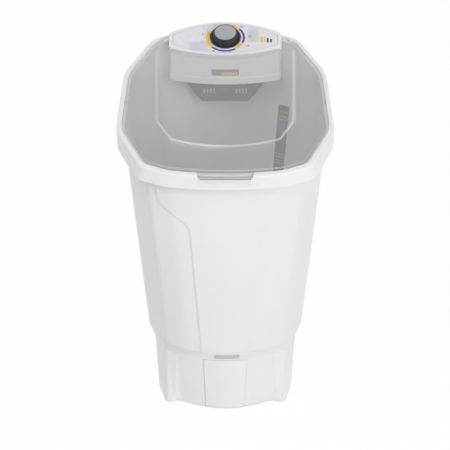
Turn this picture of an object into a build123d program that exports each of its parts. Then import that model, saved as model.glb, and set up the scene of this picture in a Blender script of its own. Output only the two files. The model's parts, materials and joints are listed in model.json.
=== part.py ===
"""A top-loading semi-automatic washing machine: a tapered plastic wash tub on a skirted base, with a
see-through lid, a timer console at the back, an agitator, and a belt drive under the tub floor.

The frame is +Z up with the origin on the floor, in the middle of the overall box. The front is -Y.
The rim of the tub lies in a plane that rises towards the back. Sizes are in millimetres.
"""

import math
import os
from dataclasses import dataclass, replace

from build123d import *

os.makedirs("parts", exist_ok=True)

# Overall sizes
body_depth = 583.0  # from the front of the lid's grip to the back of the rim
rim_width = 554.0
rim_front_height = 759.0  # floor to the rim's top, at the front
rim_tilt = 15.0  # rise of the rim towards the back, in degrees
grip_reach = 3.0  # how far the lid's grip stands ahead of the rim

# Walls and clearances
wall = 3.2  # moulded walls of the tub, base and console
floor_wall = 4.0
sheet = 2.0  # pressed steel
static_gap = 0.2  # between curved faces that are fastened to each other
moving_gap = 0.5  # between pieces that move past each other
fit_gap = 0.05  # radial, in screwed and pushed fits
running_gap = 0.04  # radial, between a shaft and its bush

# Rim of the tub
lip_width = 13.0  # from the rim's outer edge to the lid's seat
ledge_width = 7.0  # the ledge that the lid rests on
seat_depth = 6.5
skirt_height = 38.0
skirt_draft = 2.0  # how far the skirt's lower edge is drawn in
rim_rounding = 4.0
rim_band = 8.0  # how far the rim's edge runs straight down, over the skirt

# Tub
floor_height = 196.0  # underside of the tub floor
floor_rounding = 18.0
shield_depth = 4.0  # how far the front relief stands out
shield_foot_width = 124.0
shield_neck_width = 178.0
shield_neck_height = 600.0
shield_top_width = 340.0
shield_top_height = 668.0
shield_bend = 42.0
boss_radius = 7.0
boss_length = 14.0
boss_spots = ((141.0, -163.0), (177.0, 20.0), (149.0, 170.0))  # across and along, on both sides

# Base
base_top_height = 165.0
foot_height = 3.0
foot_radius = 15.0
foot_stem_radius = 5.0
foot_stem_length = 12.0
foot_x = 128.0
foot_front_y = -118.0
foot_back_y = 150.0
post_radius = 11.0
post_height = 34.0
panel_depth = 2.5  # how far the lower middle panel stands out
panel_top_width = 117.0
panel_foot_width = 106.0
ledge_reach = 22.0  # the base's inner ledge, which the tub is screwed to
bottom_plate = 3.0
vent_length = 60.0
vent_width = 4.0
vent_pitch = 10.0
vent_count = 9

# Console
console_tilt = 22.0
console_width = 303.0
console_front_setback = 457.0  # rim front to the middle of the console's front
console_front_bow = 31.0
console_back_bow = 38.5
console_length = 119.0  # from its front to its back, on the middle plane
console_rounding = 12.0
console_drop = 85.0  # height of the console's front
console_lip_height = 18.0
console_lip_reach = 1.5
console_step = 1.5  # the control panel's front edge over the rim plane
console_reveal = 1.8  # how far the housing is drawn in under the panel
panel_plate = 3.0
panel_skirt = 11.0
panel_rounding = 2.0
console_screw_front_x = 112.0
console_screw_front_y = 204.0
console_screw_back_x = 130.0
console_screw_back_y = 230.0
console_screw_length = 22.0
overlay_thickness = 0.8
overlay_border = 8.0
console_label_width = 73.0
console_label_height = 18.0
console_label_drop = 51.0  # from the panel's front edge to the label's middle
label_thickness = 0.8

# Lid
lid_wall = 3.0
lid_gap = 1.5  # round the lid's edge
lid_lift = 1.5  # underside of the lid over the ledge
notch_gap = 2.0  # between the lid and the console
plateau_front_width = 282.0
plateau_mid_width = 357.5
plateau_back_width = 379.0
plateau_front_setback = 101.0
plateau_front_bow = 27.5
plateau_cheek = 68.5
plateau_back_setback = 505.0
plateau_rise = 7.0
plateau_slope = 9.0
plateau_rounding = 10.0
bead_inset = 8.0
bead_width = 3.0
bead_rise = 1.6
grip_width = 124.0
grip_flare = 7.0
grip_lip_height = 9.0
grip_lip_wall = 2.4
bumper_length = 10.0
bumper_width = 4.0
bumper_front_x = 95.0
bumper_front_y = 22.0  # along the rim plane from its front

# Lid hinge
hinge_setback = 540.0  # along the rim plane from its front
hinge_rise = 4.5
barrel_radius = 4.6
pin_radius = 2.5
pin_length = 22.0
ear_width = 13.5
pin_end_gap = 4.0  # how far the pin starts inside the console's side

# Timer and knob
knob_setback = 67.0  # along the control panel from its front edge
knob_flange_radius = 42.0
knob_flange_thickness = 3.0
knob_foot_radius = 37.0
knob_top_radius = 31.0
knob_height = 20.0
knob_wall = 2.2
knob_ribs = 30
knob_rib_radius = 1.0
knob_hub_radius = 6.5
knob_cap_radius = 28.5
knob_cap_thickness = 1.2
timer_shaft_radius = 3.0
timer_neck_radius = 6.0
timer_nut_radius = 10.0
timer_nut_height = 2.4
timer_width = 50.0
timer_length = 42.0
timer_height = 26.0

# Lint filter
filter_foot_height = 731.0
filter_top_width = 229.0
filter_foot_width = 142.0
filter_face_height = 62.0
filter_lip_height = 9.0
filter_lip_reach = 7.0
filter_wall = 2.4
filter_face_setback = 522.0  # rim front to the filter's face
filter_slots = 4
filter_slot_pitch = 9.0
filter_slot_width = 4.0
filter_slot_height = 17.0
filter_group_offset = 44.0
filter_slot_middle = 18.5  # over the face's foot
net_thickness = 1.0
net_pitch = 9.0
net_hole = 6.0
net_rows = 5
net_setback = 10.0  # behind the filter's face
guide_height = 46.0
guide_width = 5.0

# Level strip on the back wall
strip_width = 28.0
strip_top_x = 148.0
strip_top_height = 708.0
strip_foot_x = 129.0
strip_foot_height = 400.0
strip_thickness = 1.2

# Front badge
badge_width = 68.0
badge_height = 12.0
badge_thickness = 1.0
badge_x = 4.0
badge_foot_height = 172.0

# Drive
drive_y = 16.0
shaft_radius = 6.0
shaft_foot_height = 64.0
agitator_radius = 148.0
agitator_plate = 4.0
agitator_gap = 3.0
agitator_dome_radius = 44.0
agitator_dome_height = 46.0
agitator_dome_flare = 30.0
agitator_fin_height = 30.0
agitator_fin_thickness = 12.0
agitator_fins = 4
agitator_holes = 24
agitator_hole_radius = 3.0
cap_radius = 15.0
cap_height = 5.0
shaft_screw_depth = 14.0
housing_radius = 22.0
housing_neck_radius = 16.0
housing_neck_height = 6.0
housing_flange_radius = 55.0
housing_flange_thickness = 6.0
housing_foot_height = 112.0
housing_screw_radius = 46.0
bush_wall = 3.0
bush_length = 22.0
seal_height = 5.0
pulley_height = 78.0  # middle of the belt
pulley_width = 14.0
driven_radius = 108.0
motor_pulley_radius = 21.0
pulley_hub_radius = 15.0
pulley_arms = 5
pulley_rim = 10.0
groove_depth = 5.0
flange_lip = 1.5
belt_width = 7.0
belt_thickness = 6.0
motor_offset = 152.0  # from the drive shaft, towards the back
motor_shaft_radius = 5.0
motor_radius = 56.0
motor_foot_height = 94.0
stator_height = 44.0
stator_bore = 31.0
end_shield_height = 20.0
rotor_radius = 30.5
fan_radius = 38.0
fan_blades = 8
fan_height = 8.0
shield_vents = 8
through_bolt_radius = 48.0  # from the motor's axis to the bolts that run through it
bracket_opening_radius = 26.0
mount_x = 72.0
mount_y = 46.0  # from the motor's axis
mount_height = 6.0
mount_radius = 9.0
mount_screw_depth = 14.0
bracket_thickness = 3.0
capacitor_x = 112.0
capacitor_y = 96.0
capacitor_radius = 19.0
capacitor_length = 62.0
capacitor_drop = 4.0
clip_foot_length = 76.0
clip_foot_width = 13.0
clip_screw_pitch = 64.0
clip_screw_depth = 3.0

# Drain
drain_x = -104.0
drain_y = 128.0
strainer_radius = 20.0
drain_bore = 9.0
hose_bore = 11.0
hose_wall = 2.5
drain_spigot_length = 22.0
strainer_height = 3.0
strainer_hole_radius = 2.0
outlet_x = -84.0
outlet_height = 62.0
outlet_inside = 196.0  # where the outlet pipe starts, inside the base
outlet_overlap = 20.0  # how far the hose is pushed over it
outlet_flange_radius = 17.0
outlet_flange_depth = 16.0
outlet_reach = 26.0
clip_width = 7.0
clip_thickness = 1.0

# Back of the machine
duct_width = 56.0
duct_depth = 11.0
duct_wall = 1.8
duct_foot_height = 132.0
duct_top_drop = 27.0  # below the rim's back edge
duct_flange = 12.0
duct_screw_foot_inset = 12.0  # from the duct's foot to its lower screws
duct_screw_top_inset = 36.0
window_width = 14.0  # of the cable's two windows in the back walls
window_length = 28.0
lower_window_height = 152.0  # middle of the window in the base
upper_window_height = 850.0  # middle of the windows in the tub and the console
cable_radius = 2.2
cable_offset = 4.5  # from the back wall to the cable's middle
gland_x = 84.0
gland_height = 58.0
gland_radius = 9.0
cord_bore = 4.0

# Screws
screw_radius = 2.0
screw_head_radius = 4.0
screw_head_height = 2.2

rim_front = -body_depth / 2 + grip_reach
rim_back = body_depth / 2
tilt = math.radians(rim_tilt)
rim_length = (rim_back - rim_front) / math.cos(tilt)
tub_floor = floor_height + floor_wall
DOWN = (0, 0, -1)
UP_FROM = (Align.CENTER, Align.CENTER, Align.MIN)
DOWN_FROM = (Align.CENTER, Align.CENTER, Align.MAX)


def rim_plane(drop=0.0):
    """The rim's plane, moved straight down by drop. Its y runs back and up from the rim's front."""
    return Plane(
        origin=(0, rim_front, rim_front_height - drop),
        x_dir=(1, 0, 0),
        z_dir=(0, -math.sin(tilt), math.cos(tilt)),
    )


def rim_height(y):
    """Height of the rim's plane over the floor at y."""
    return rim_front_height + (y - rim_front) * math.tan(tilt)


@dataclass(frozen=True)
class Outline:
    """A closed outline, alike on both sides, with a bowed front and back and cut corners.

    cheek, front_cut and back_cut are (across, along) sizes of the slanting stretches, from the bowed
    front to the sides and from the sides to the bowed back. rounding holds the radii at the ends of
    the front, the cheek, the two ends of the side and the back.
    """

    width: float
    front: float
    back: float
    front_bow: float
    back_bow: float
    cheek: tuple
    front_cut: tuple
    back_cut: tuple
    toe_in: float
    rounding: tuple

    def corners(self):
        """The corners of the right half, from the front to the back."""
        half = self.width / 2
        cheek_x = half - self.front_cut[0]
        cheek_y = self.front + self.front_bow + self.cheek[1]
        back_half = half - self.toe_in
        return [
            (cheek_x - self.cheek[0], self.front + self.front_bow),
            (cheek_x, cheek_y),
            (half, cheek_y + self.front_cut[1]),
            (back_half, self.back - self.back_bow - self.back_cut[1]),
            (back_half - self.back_cut[0], self.back - self.back_bow),
        ]


rim_outline = Outline(
    width=rim_width,
    front=0.0,
    back=rim_length,
    front_bow=12.0,
    back_bow=55.0,
    cheek=(68.0, 28.0),
    front_cut=(64.5, 135.0),
    back_cut=(69.0, 142.0),
    toe_in=9.5,
    rounding=(90.0, 45.0, 120.0, 170.0, 56.0),
)
skirt_outline = replace(rim_outline, cheek=(70.0, 28.0), front_cut=(56.0, 120.0))
floor_outline = Outline(
    width=422.0,
    front=-226.0,
    back=258.0,
    front_bow=13.0,
    back_bow=35.0,
    cheek=(54.0, 30.0),
    front_cut=(52.0, 98.0),
    back_cut=(60.0, 92.0),
    toe_in=5.0,
    rounding=(90.0, 45.0, 80.0, 60.0, 30.0),
)
base_outline = Outline(
    width=386.0,
    front=-220.0,
    back=246.0,
    front_bow=34.0,
    back_bow=26.0,
    cheek=(34.0, 19.0),
    front_cut=(28.0, 67.0),
    back_cut=(56.0, 84.0),
    toe_in=3.0,
    rounding=(30.0, 26.0, 50.0, 50.0, 34.0),
)
foot_outline = Outline(
    width=370.0,
    front=-215.0,
    back=241.0,
    front_bow=36.0,
    back_bow=26.0,
    cheek=(35.0, -15.0),
    front_cut=(23.0, 84.0),
    back_cut=(54.0, 82.0),
    toe_in=3.0,
    rounding=(30.0, 18.0, 50.0, 50.0, 34.0),
)


def trace(outline, inset=0.0):
    """Adds the outline's face to the open sketch, drawn in by inset."""
    right = outline.corners()
    left = [(-x, y) for x, y in right]
    with BuildSketch(mode=Mode.PRIVATE) as face:
        with BuildLine():
            ThreePointArc(left[0], (0, outline.front), right[0])
            Polyline(*right)
            ThreePointArc(right[-1], (0, outline.back), left[-1])
            Polyline(*reversed(left))
        make_face()
        for (x, y), radius in zip(right, outline.rounding):
            spots = [(x, y), (-x, y)]
            fillet(
                face.vertices().filter_by(
                    lambda v: any(math.dist((v.X, v.Y), spot) < 0.01 for spot in spots)
                ),
                radius,
            )
        if inset:
            offset(amount=-inset, kind=Kind.INTERSECTION, mode=Mode.REPLACE)
    add(face.sketch)


def slab(outline, top_plane, inset, depth, mode=Mode.ADD):
    """Adds a slab under top_plane to the open part, with upright sides."""
    with BuildSketch(top_plane) as face:
        trace(outline, inset)
    extrude(face.sketch, amount=depth, dir=DOWN, mode=mode)


def export(piece, name):
    """Labels a finished piece and writes it."""
    piece.label = name
    export_step(piece, f"parts/{name}.step")


def tub_shape(inset, bottom, grown=0.0):
    """The tub's tapered body, drawn in by inset, from bottom up to the rim's plane."""
    with BuildPart() as shape:
        with BuildSketch(Plane.XY.offset(bottom)):
            trace(floor_outline, inset - grown)
        with BuildSketch(rim_plane()):
            trace(rim_outline, lip_width + ledge_width - wall + inset - grown)
        loft(ruled=True)
    return shape.part


def base_shape(inset, top, bottom, grown=0.0):
    """The base's outer shape, drawn in by inset."""
    with BuildPart() as shape:
        with BuildSketch(Plane.XY.offset(top)):
            trace(floor_outline, inset - grown)
        with BuildSketch(Plane.XY.offset(base_top_height)):
            trace(base_outline, inset - grown)
        loft(ruled=True)
        with BuildSketch(Plane.XY.offset(base_top_height)):
            trace(base_outline, inset - grown)
        with BuildSketch(Plane.XY.offset(bottom)):
            trace(foot_outline, inset - grown)
        loft(ruled=True)
    return shape.part


def shield_prism():
    """The front relief as seen from ahead, run through the front wall."""
    top = rim_front_height + skirt_height
    half_foot = shield_foot_width / 2
    half_neck = shield_neck_width / 2
    half_top = shield_top_width / 2
    with BuildPart() as prism:
        with BuildSketch(Plane.XZ):
            with BuildLine():
                right = FilletPolyline(
                    (half_foot, floor_height),
                    (half_neck, shield_neck_height),
                    (half_top, shield_top_height),
                    (half_top, top),
                    radius=shield_bend,
                )
                mirror(right, about=Plane.YZ)
                Line((half_foot, floor_height), (-half_foot, floor_height))
                Line((half_top, top), (-half_top, top))
            make_face()
        extrude(amount=body_depth)
    return prism.part


def base_panel_prism():
    """The base's plain middle panel as seen from ahead, run through the front wall."""
    half_top = panel_top_width / 2
    half_foot = panel_foot_width / 2
    with BuildPart() as prism:
        with BuildSketch(Plane.XZ):
            with BuildLine():
                Polyline(
                    (-half_foot, foot_height),
                    (half_foot, foot_height),
                    (half_top, base_top_height),
                    (-half_top, base_top_height),
                    close=True,
                )
            make_face()
        extrude(amount=body_depth)
    return prism.part


tub_body = tub_shape(0, floor_height)
shield = tub_shape(0, floor_height, shield_depth) & shield_prism()
motor_y = drive_y + motor_offset
mount_places = [(x, motor_y + y) for x in (-mount_x, mount_x) for y in (-mount_y, mount_y)]
tub_screw_places = [(side * x, y) for x, y in boss_spots for side in (-1, 1)]
clip_screw_places = [(capacitor_x + side * clip_screw_pitch / 2, capacitor_y) for side in (-1, 1)]

motor_top_height = motor_foot_height + 2 * end_shield_height + stator_height
bracket_height = motor_foot_height - bracket_thickness
mount_drop = floor_height - motor_foot_height - mount_height

duct_top_height = rim_height(rim_back) - duct_top_drop
back_slope_top = Vector(rim_plane().from_local_coords((0, rim_length - lip_width - ledge_width + wall, 0)))
duct_screw_places = [
    (side * (duct_width + duct_flange) / 2, height)
    for height in (duct_foot_height + duct_screw_foot_inset, duct_top_height - duct_screw_top_inset)
    for side in (-1, 1)
]


def back_wall_y(height):
    """Where the machine's back face stands at a height, on the middle plane."""
    if height > floor_height:
        share = (height - floor_height) / (back_slope_top.Z - floor_height)
        return floor_outline.back + share * (back_slope_top.Y - floor_outline.back)
    if height > base_top_height:
        share = (height - base_top_height) / (floor_height - base_top_height)
        return base_outline.back + share * (floor_outline.back - base_outline.back)
    share = (height - foot_height) / (base_top_height - foot_height)
    return foot_outline.back + share * (base_outline.back - foot_outline.back)


def facing_back(x, y, z):
    """A place whose own z axis points to the back."""
    return Location((x, y, z), (-90, 0, 0))


def cut_duct_screws(radius):
    """Cuts the holes of the duct's screws in the open part."""
    for x, height in duct_screw_places:
        with Locations(facing_back(x, back_wall_y(height), height)):
            Cylinder(radius, 2 * duct_depth, mode=Mode.SUBTRACT)


def cut_window(height):
    """Cuts a window for the cable through the open part's back wall."""
    with Locations(facing_back(0, outlet_inside, height)):
        Box(window_width, window_length, base_outline.back, align=UP_FROM, mode=Mode.SUBTRACT)


with BuildPart() as cavity:
    add(tub_shape(wall, tub_floor))
    fillet(cavity.faces().sort_by(Axis.Z)[0].edges(), floor_rounding)
tub_cavity = cavity.part


def trace_grip(gap, reach):
    """Adds the grip's outline in the rim's plane to the open sketch, from the seat to reach."""
    half_front = grip_width / 2 + gap
    half_back = half_front + grip_flare
    with BuildSketch(mode=Mode.PRIVATE) as face:
        with BuildLine():
            Polyline(
                (-half_front, -reach),
                (half_front, -reach),
                (half_back, lip_width + lid_gap),
                (half_back, 2 * lip_width),
                (-half_back, 2 * lip_width),
                (-half_back, lip_width + lid_gap),
                close=True,
            )
        make_face()
    add(face.sketch)


with BuildPart() as grip_cut:
    with BuildSketch(rim_plane()):
        trace_grip(lid_gap, 4 * grip_reach)
    extrude(amount=seat_depth, dir=DOWN)
grip_space = grip_cut.part

with BuildPart() as tub:
    slab(rim_outline, rim_plane(), 0, rim_band)
    fillet(tub.faces().sort_by(Axis(rim_plane().origin, rim_plane().z_dir))[-1].edges(), rim_rounding)
    with BuildSketch(rim_plane(rim_band)):
        trace(rim_outline)
    with BuildSketch(rim_plane(skirt_height)):
        trace(skirt_outline, skirt_draft)
    loft(ruled=True)
    with BuildSketch(rim_plane(wall)):
        trace(rim_outline, wall)
    with BuildSketch(rim_plane(skirt_height)):
        trace(skirt_outline, wall + skirt_draft)
    loft(ruled=True, mode=Mode.SUBTRACT)
    slab(rim_outline, rim_plane(), lip_width - wall, seat_depth + wall)
    add(tub_body)
    add(shield)
    slab(rim_outline, rim_plane(), lip_width, seat_depth, mode=Mode.SUBTRACT)
    add(tub_cavity, mode=Mode.SUBTRACT)
    add(grip_space, mode=Mode.SUBTRACT)
    with Locations(*[(x, y, floor_height) for x, y in tub_screw_places]):
        Cylinder(boss_radius, boss_length, align=DOWN_FROM)
    with Locations(*[(x, y, floor_height) for x, y in mount_places]):
        Cylinder(mount_radius, mount_drop, align=DOWN_FROM)
    with Locations((drain_x, drain_y, floor_height)):
        Cylinder(hose_bore - fit_gap, drain_spigot_length, align=DOWN_FROM)
    with Locations((drain_x, drain_y, tub_floor)):
        Cylinder(drain_bore, floor_wall + drain_spigot_length, align=DOWN_FROM, mode=Mode.SUBTRACT)
    with Locations((0, drive_y, tub_floor)):
        Cylinder(housing_neck_radius + fit_gap, floor_wall, align=DOWN_FROM, mode=Mode.SUBTRACT)
        with PolarLocations(housing_screw_radius, 4, start_angle=45):
            Cylinder(screw_radius, floor_wall, align=DOWN_FROM, mode=Mode.SUBTRACT)
    with Locations(*[(x, y, floor_height - boss_length) for x, y in tub_screw_places]):
        Cylinder(screw_radius, boss_length, align=UP_FROM, mode=Mode.SUBTRACT)
    with Locations(*[(x, y, floor_height - mount_drop) for x, y in mount_places]):
        Cylinder(screw_radius, mount_screw_depth, align=UP_FROM, mode=Mode.SUBTRACT)
    with Locations(*[(x, y, floor_height) for x, y in clip_screw_places]):
        Cylinder(screw_radius, clip_screw_depth, align=UP_FROM, mode=Mode.SUBTRACT)
    with Locations((0, rim_back, duct_top_height + static_gap)):
        Box(
            duct_width + 2 * (duct_flange + static_gap),
            2 * (rim_back - back_wall_y(duct_top_height) - static_gap),
            skirt_height,
            align=DOWN_FROM,
            mode=Mode.SUBTRACT,
        )
    cut_duct_screws(screw_radius)
    cut_window(upper_window_height)
export(tub.part, "tub")


def ring(outer_radius, inner_radius, height, align=UP_FROM):
    """Adds a ring at each open location."""
    Cylinder(outer_radius, height, align=align)
    Cylinder(inner_radius, height, align=align, mode=Mode.SUBTRACT)


def screw(length, radius=screw_radius, head_radius=screw_head_radius, head_height=screw_head_height):
    """Adds a screw at each open location, its shank along the location's z and its head behind it."""
    Cylinder(radius - fit_gap, length, align=UP_FROM)
    Cylinder(head_radius, head_height, align=DOWN_FROM)


cover_top = foot_height + bottom_plate
ledge_top = floor_height - boss_length
post_places = [(x, y) for x in (-foot_x, foot_x) for y in (foot_front_y, foot_back_y)]
base_outer = base_shape(0, floor_height, foot_height)
base_core = base_shape(wall / 2, floor_height, foot_height)

with BuildPart() as inner_ledge:
    slab(floor_outline, Plane.XY.offset(ledge_top), 0, wall)
    slab(base_outline, Plane.XY.offset(ledge_top), wall + ledge_reach, wall, mode=Mode.SUBTRACT)
    add(base_core, mode=Mode.INTERSECT)
    with Locations(*[(x, y, ledge_top) for x, y in tub_screw_places]):
        Cylinder(screw_radius + fit_gap, wall, align=DOWN_FROM, mode=Mode.SUBTRACT)
    with Locations(*[(x, y, ledge_top) for x, y in mount_places]):
        Cylinder(mount_radius + moving_gap, wall, align=DOWN_FROM, mode=Mode.SUBTRACT)

with BuildPart() as posts:
    for x, y in post_places:
        outward = Align.MIN if x > 0 else Align.MAX
        rib_align = (outward, Align.CENTER, Align.MIN)
        with Locations((x, y, cover_top)):
            Cylinder(post_radius, post_height, align=UP_FROM)
            Box(base_outline.width, wall, post_height - post_radius, align=rib_align)
    add(base_core, mode=Mode.INTERSECT)
    with Locations(*[(x, y, cover_top) for x, y in post_places]):
        Cylinder(foot_stem_radius + fit_gap, foot_stem_length, align=UP_FROM, mode=Mode.SUBTRACT)

with BuildPart() as base_skirt:
    add(base_outer)
    add(base_shape(0, floor_height, foot_height, panel_depth) & base_panel_prism())
    add(base_shape(wall, floor_height, foot_height), mode=Mode.SUBTRACT)
    add(inner_ledge.part)
    add(posts.part)
    with Locations(facing_back(outlet_x, outlet_inside, outlet_height)):
        Cylinder(hose_bore, base_outline.back, align=UP_FROM, mode=Mode.SUBTRACT)
    with Locations(facing_back(gland_x, outlet_inside, gland_height)):
        Cylinder(gland_radius + fit_gap, base_outline.back, align=UP_FROM, mode=Mode.SUBTRACT)
    cut_window(lower_window_height)
    cut_duct_screws(screw_radius)
export(base_skirt.part, "base_skirt")

with BuildPart() as bottom_cover:
    with BuildSketch(Plane.XY.offset(foot_height)):
        trace(foot_outline, wall + moving_gap + static_gap)
        with Locations(*post_places):
            Circle(foot_stem_radius + fit_gap, mode=Mode.SUBTRACT)
        with Locations((0, motor_y), (0, -motor_y / 2)):
            with GridLocations(vent_length + vent_pitch, vent_pitch, 2, vent_count):
                SlotOverall(vent_length, vent_width, mode=Mode.SUBTRACT)
    extrude(amount=bottom_plate)
export(bottom_cover.part, "bottom_cover")

with BuildPart() as feet:
    with Locations(*[(x, y, 0) for x, y in post_places]):
        Cylinder(foot_radius, foot_height, align=UP_FROM)
        Cylinder(foot_stem_radius, cover_top + foot_stem_length, align=UP_FROM)
export(feet.part, "feet")

with BuildPart() as base_screws:
    with Locations(*[(x, y, ledge_top - wall) for x, y in tub_screw_places]):
        screw(boss_length)
export(base_screws.part, "base_screws")

# Drain

with BuildPart() as drain_strainer:
    with Locations((drain_x, drain_y, tub_floor)):
        Cylinder(strainer_radius, strainer_height, align=UP_FROM)
        with PolarLocations(strainer_radius * 2 / 3, 12):
            Cylinder(strainer_hole_radius, strainer_height, align=UP_FROM, mode=Mode.SUBTRACT)
        with PolarLocations(strainer_radius / 3, 6):
            Cylinder(strainer_hole_radius, strainer_height, align=UP_FROM, mode=Mode.SUBTRACT)
export(drain_strainer.part, "drain_strainer")

hose_route = [
    (drain_x, drain_y, floor_height),
    (drain_x, drain_y, 130),
    (-97, 140, 86),
    (outlet_x, 172, outlet_height),
    (outlet_x, outlet_inside + outlet_overlap, outlet_height),
]


def bend_radii(route):
    """The largest arcs that the runs of a route leave room for, one for each corner."""
    radii = []
    for before, corner, after in zip(route, route[1:], route[2:]):
        run_in = Vector(corner) - Vector(before)
        run_out = Vector(after) - Vector(corner)
        half_turn = math.radians(run_in.get_angle(run_out) / 2)
        radii.append(0.45 * min(run_in.length, run_out.length) / math.tan(half_turn))
    return radii


with BuildPart() as drain_hose:
    with BuildLine() as hose_line:
        FilletPolyline(*hose_route, radius=bend_radii(hose_route))
    with BuildSketch(Plane(origin=hose_route[0], z_dir=DOWN)):
        Circle(hose_bore + hose_wall)
        Circle(hose_bore, mode=Mode.SUBTRACT)
    sweep()
hose_section = math.pi * hose_wall * (2 * hose_bore + hose_wall)
print("hose radii:", [round(radius, 1) for radius in bend_radii(hose_route)])
print("hose volume over its section times its length:")
print(drain_hose.part.volume / (hose_section * hose_line.wires()[0].length))
export(drain_hose.part, "drain_hose")

with BuildPart() as hose_clips:
    with Locations(
        Location((drain_x, drain_y, floor_height - drain_spigot_length / 2)),
        facing_back(outlet_x, outlet_inside + outlet_overlap / 2, outlet_height),
    ):
        ring(hose_bore + hose_wall + clip_thickness, hose_bore + hose_wall, clip_width, UP_FROM)
export(hose_clips.part, "hose_clips")

with BuildPart() as drain_outlet:
    with Locations(facing_back(outlet_x, base_outline.back - outlet_flange_depth, outlet_height)):
        Cylinder(outlet_flange_radius, outlet_flange_depth, align=UP_FROM)
    add(base_outer, mode=Mode.SUBTRACT)
    with Locations(facing_back(outlet_x, outlet_inside, outlet_height)):
        outlet_length = base_outline.back - outlet_inside + outlet_reach
        Cylinder(hose_bore - fit_gap, outlet_length, align=UP_FROM)
        Cylinder(drain_bore, outlet_length, align=UP_FROM, mode=Mode.SUBTRACT)
export(drain_outlet.part, "drain_outlet")

with BuildPart() as cord_gland:
    with Locations(facing_back(gland_x, base_outline.back - outlet_flange_depth, gland_height)):
        Cylinder(gland_radius + wall, outlet_flange_depth, align=UP_FROM)
    add(base_outer, mode=Mode.SUBTRACT)
    with Locations(facing_back(gland_x, outlet_inside + outlet_overlap, gland_height)):
        Cylinder(gland_radius, base_outline.back - outlet_inside - outlet_overlap, align=UP_FROM)
        Cylinder(cord_bore, base_outline.back - outlet_inside, align=UP_FROM, mode=Mode.SUBTRACT)
export(cord_gland.part, "cord_gland")

# Agitator and its shaft

agitator_foot = tub_floor + agitator_gap
agitator_top = agitator_foot + agitator_dome_height
shaft_top = agitator_top - cap_height - wall
pulley_foot = pulley_height - pulley_width / 2
drive_axis = Axis((0, drive_y, 0), (0, 0, 1))

with BuildPart() as agitator_fin:
    with BuildSketch(Plane.XZ):
        with BuildLine():
            Polyline(
                (0, agitator_plate / 2),
                (agitator_radius - wall, agitator_plate / 2),
                (agitator_radius - wall, agitator_plate + 2 * wall),
            )
            Spline(
                (agitator_radius - wall, agitator_plate + 2 * wall),
                (agitator_radius * 2 / 3, agitator_fin_height * 2 / 3),
                (agitator_dome_radius / 2, agitator_fin_height),
            )
            Polyline(
                (agitator_dome_radius / 2, agitator_fin_height),
                (0, agitator_fin_height),
                (0, agitator_plate / 2),
            )
        make_face()
    extrude(amount=agitator_fin_thickness / 2, both=True)
    fillet(agitator_fin.edges().filter_by(GeomType.BSPLINE), agitator_fin_thickness / 3)

with BuildPart() as agitator:
    with BuildSketch(Plane.XZ.offset(-drive_y)):
        with BuildLine():
            Polyline(
                (agitator_dome_radius + agitator_dome_flare, agitator_foot + agitator_plate),
                (agitator_radius, agitator_foot + agitator_plate),
                (agitator_radius, agitator_foot),
                (0, agitator_foot),
                (0, agitator_top),
                (cap_radius + wall, agitator_top),
            )
            Spline(
                (cap_radius + wall, agitator_top),
                (agitator_dome_radius, agitator_foot + agitator_dome_height / 3),
                (agitator_dome_radius + agitator_dome_flare, agitator_foot + agitator_plate),
                tangents=((1, 0), (1, 0)),
            )
        make_face()
    revolve(axis=drive_axis)
    with Locations((0, drive_y, agitator_foot)):
        with PolarLocations(0, agitator_fins):
            add(agitator_fin.part)
        Cylinder(shaft_radius + fit_gap, shaft_top - agitator_foot, align=UP_FROM, mode=Mode.SUBTRACT)
        Cylinder(housing_neck_radius + wall, housing_neck_height + seal_height, align=UP_FROM, mode=Mode.SUBTRACT)
        with PolarLocations(agitator_radius * 3 / 4, agitator_holes, start_angle=180 / agitator_holes):
            Cylinder(agitator_hole_radius, agitator_plate, align=UP_FROM, mode=Mode.SUBTRACT)
    with Locations((0, drive_y, agitator_top)):
        Cylinder(cap_radius + fit_gap, cap_height, align=DOWN_FROM, mode=Mode.SUBTRACT)
        Cylinder(screw_radius + fit_gap, cap_height + wall, align=DOWN_FROM, mode=Mode.SUBTRACT)
export(agitator.part, "agitator")

with BuildPart() as agitator_cap:
    with Locations((0, drive_y, agitator_top - cap_height + screw_head_height)):
        Cylinder(cap_radius, cap_height - screw_head_height, align=UP_FROM)
    fillet(agitator_cap.edges().sort_by(Axis.Z)[-1], 1)
export(agitator_cap.part, "agitator_cap")

with BuildPart() as agitator_screw:
    with Locations(Location((0, drive_y, agitator_top - cap_height), (180, 0, 0))):
        screw(wall + shaft_screw_depth)
export(agitator_screw.part, "agitator_screw")

with BuildPart() as drive_shaft:
    with Locations((0, drive_y, shaft_foot_height)):
        Cylinder(shaft_radius, shaft_top - shaft_foot_height, align=UP_FROM)
    with Locations((0, drive_y, shaft_top)):
        Cylinder(screw_radius, shaft_screw_depth, align=DOWN_FROM, mode=Mode.SUBTRACT)
    chamfer(drive_shaft.edges().group_by(Axis.Z)[0], 1)
export(drive_shaft.part, "drive_shaft")

# Bearing housing under the tub floor

bush_places = [(0, drive_y, housing_foot_height), (0, drive_y, tub_floor + housing_neck_height - bush_length)]
bush_radius = shaft_radius + running_gap + bush_wall

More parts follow.
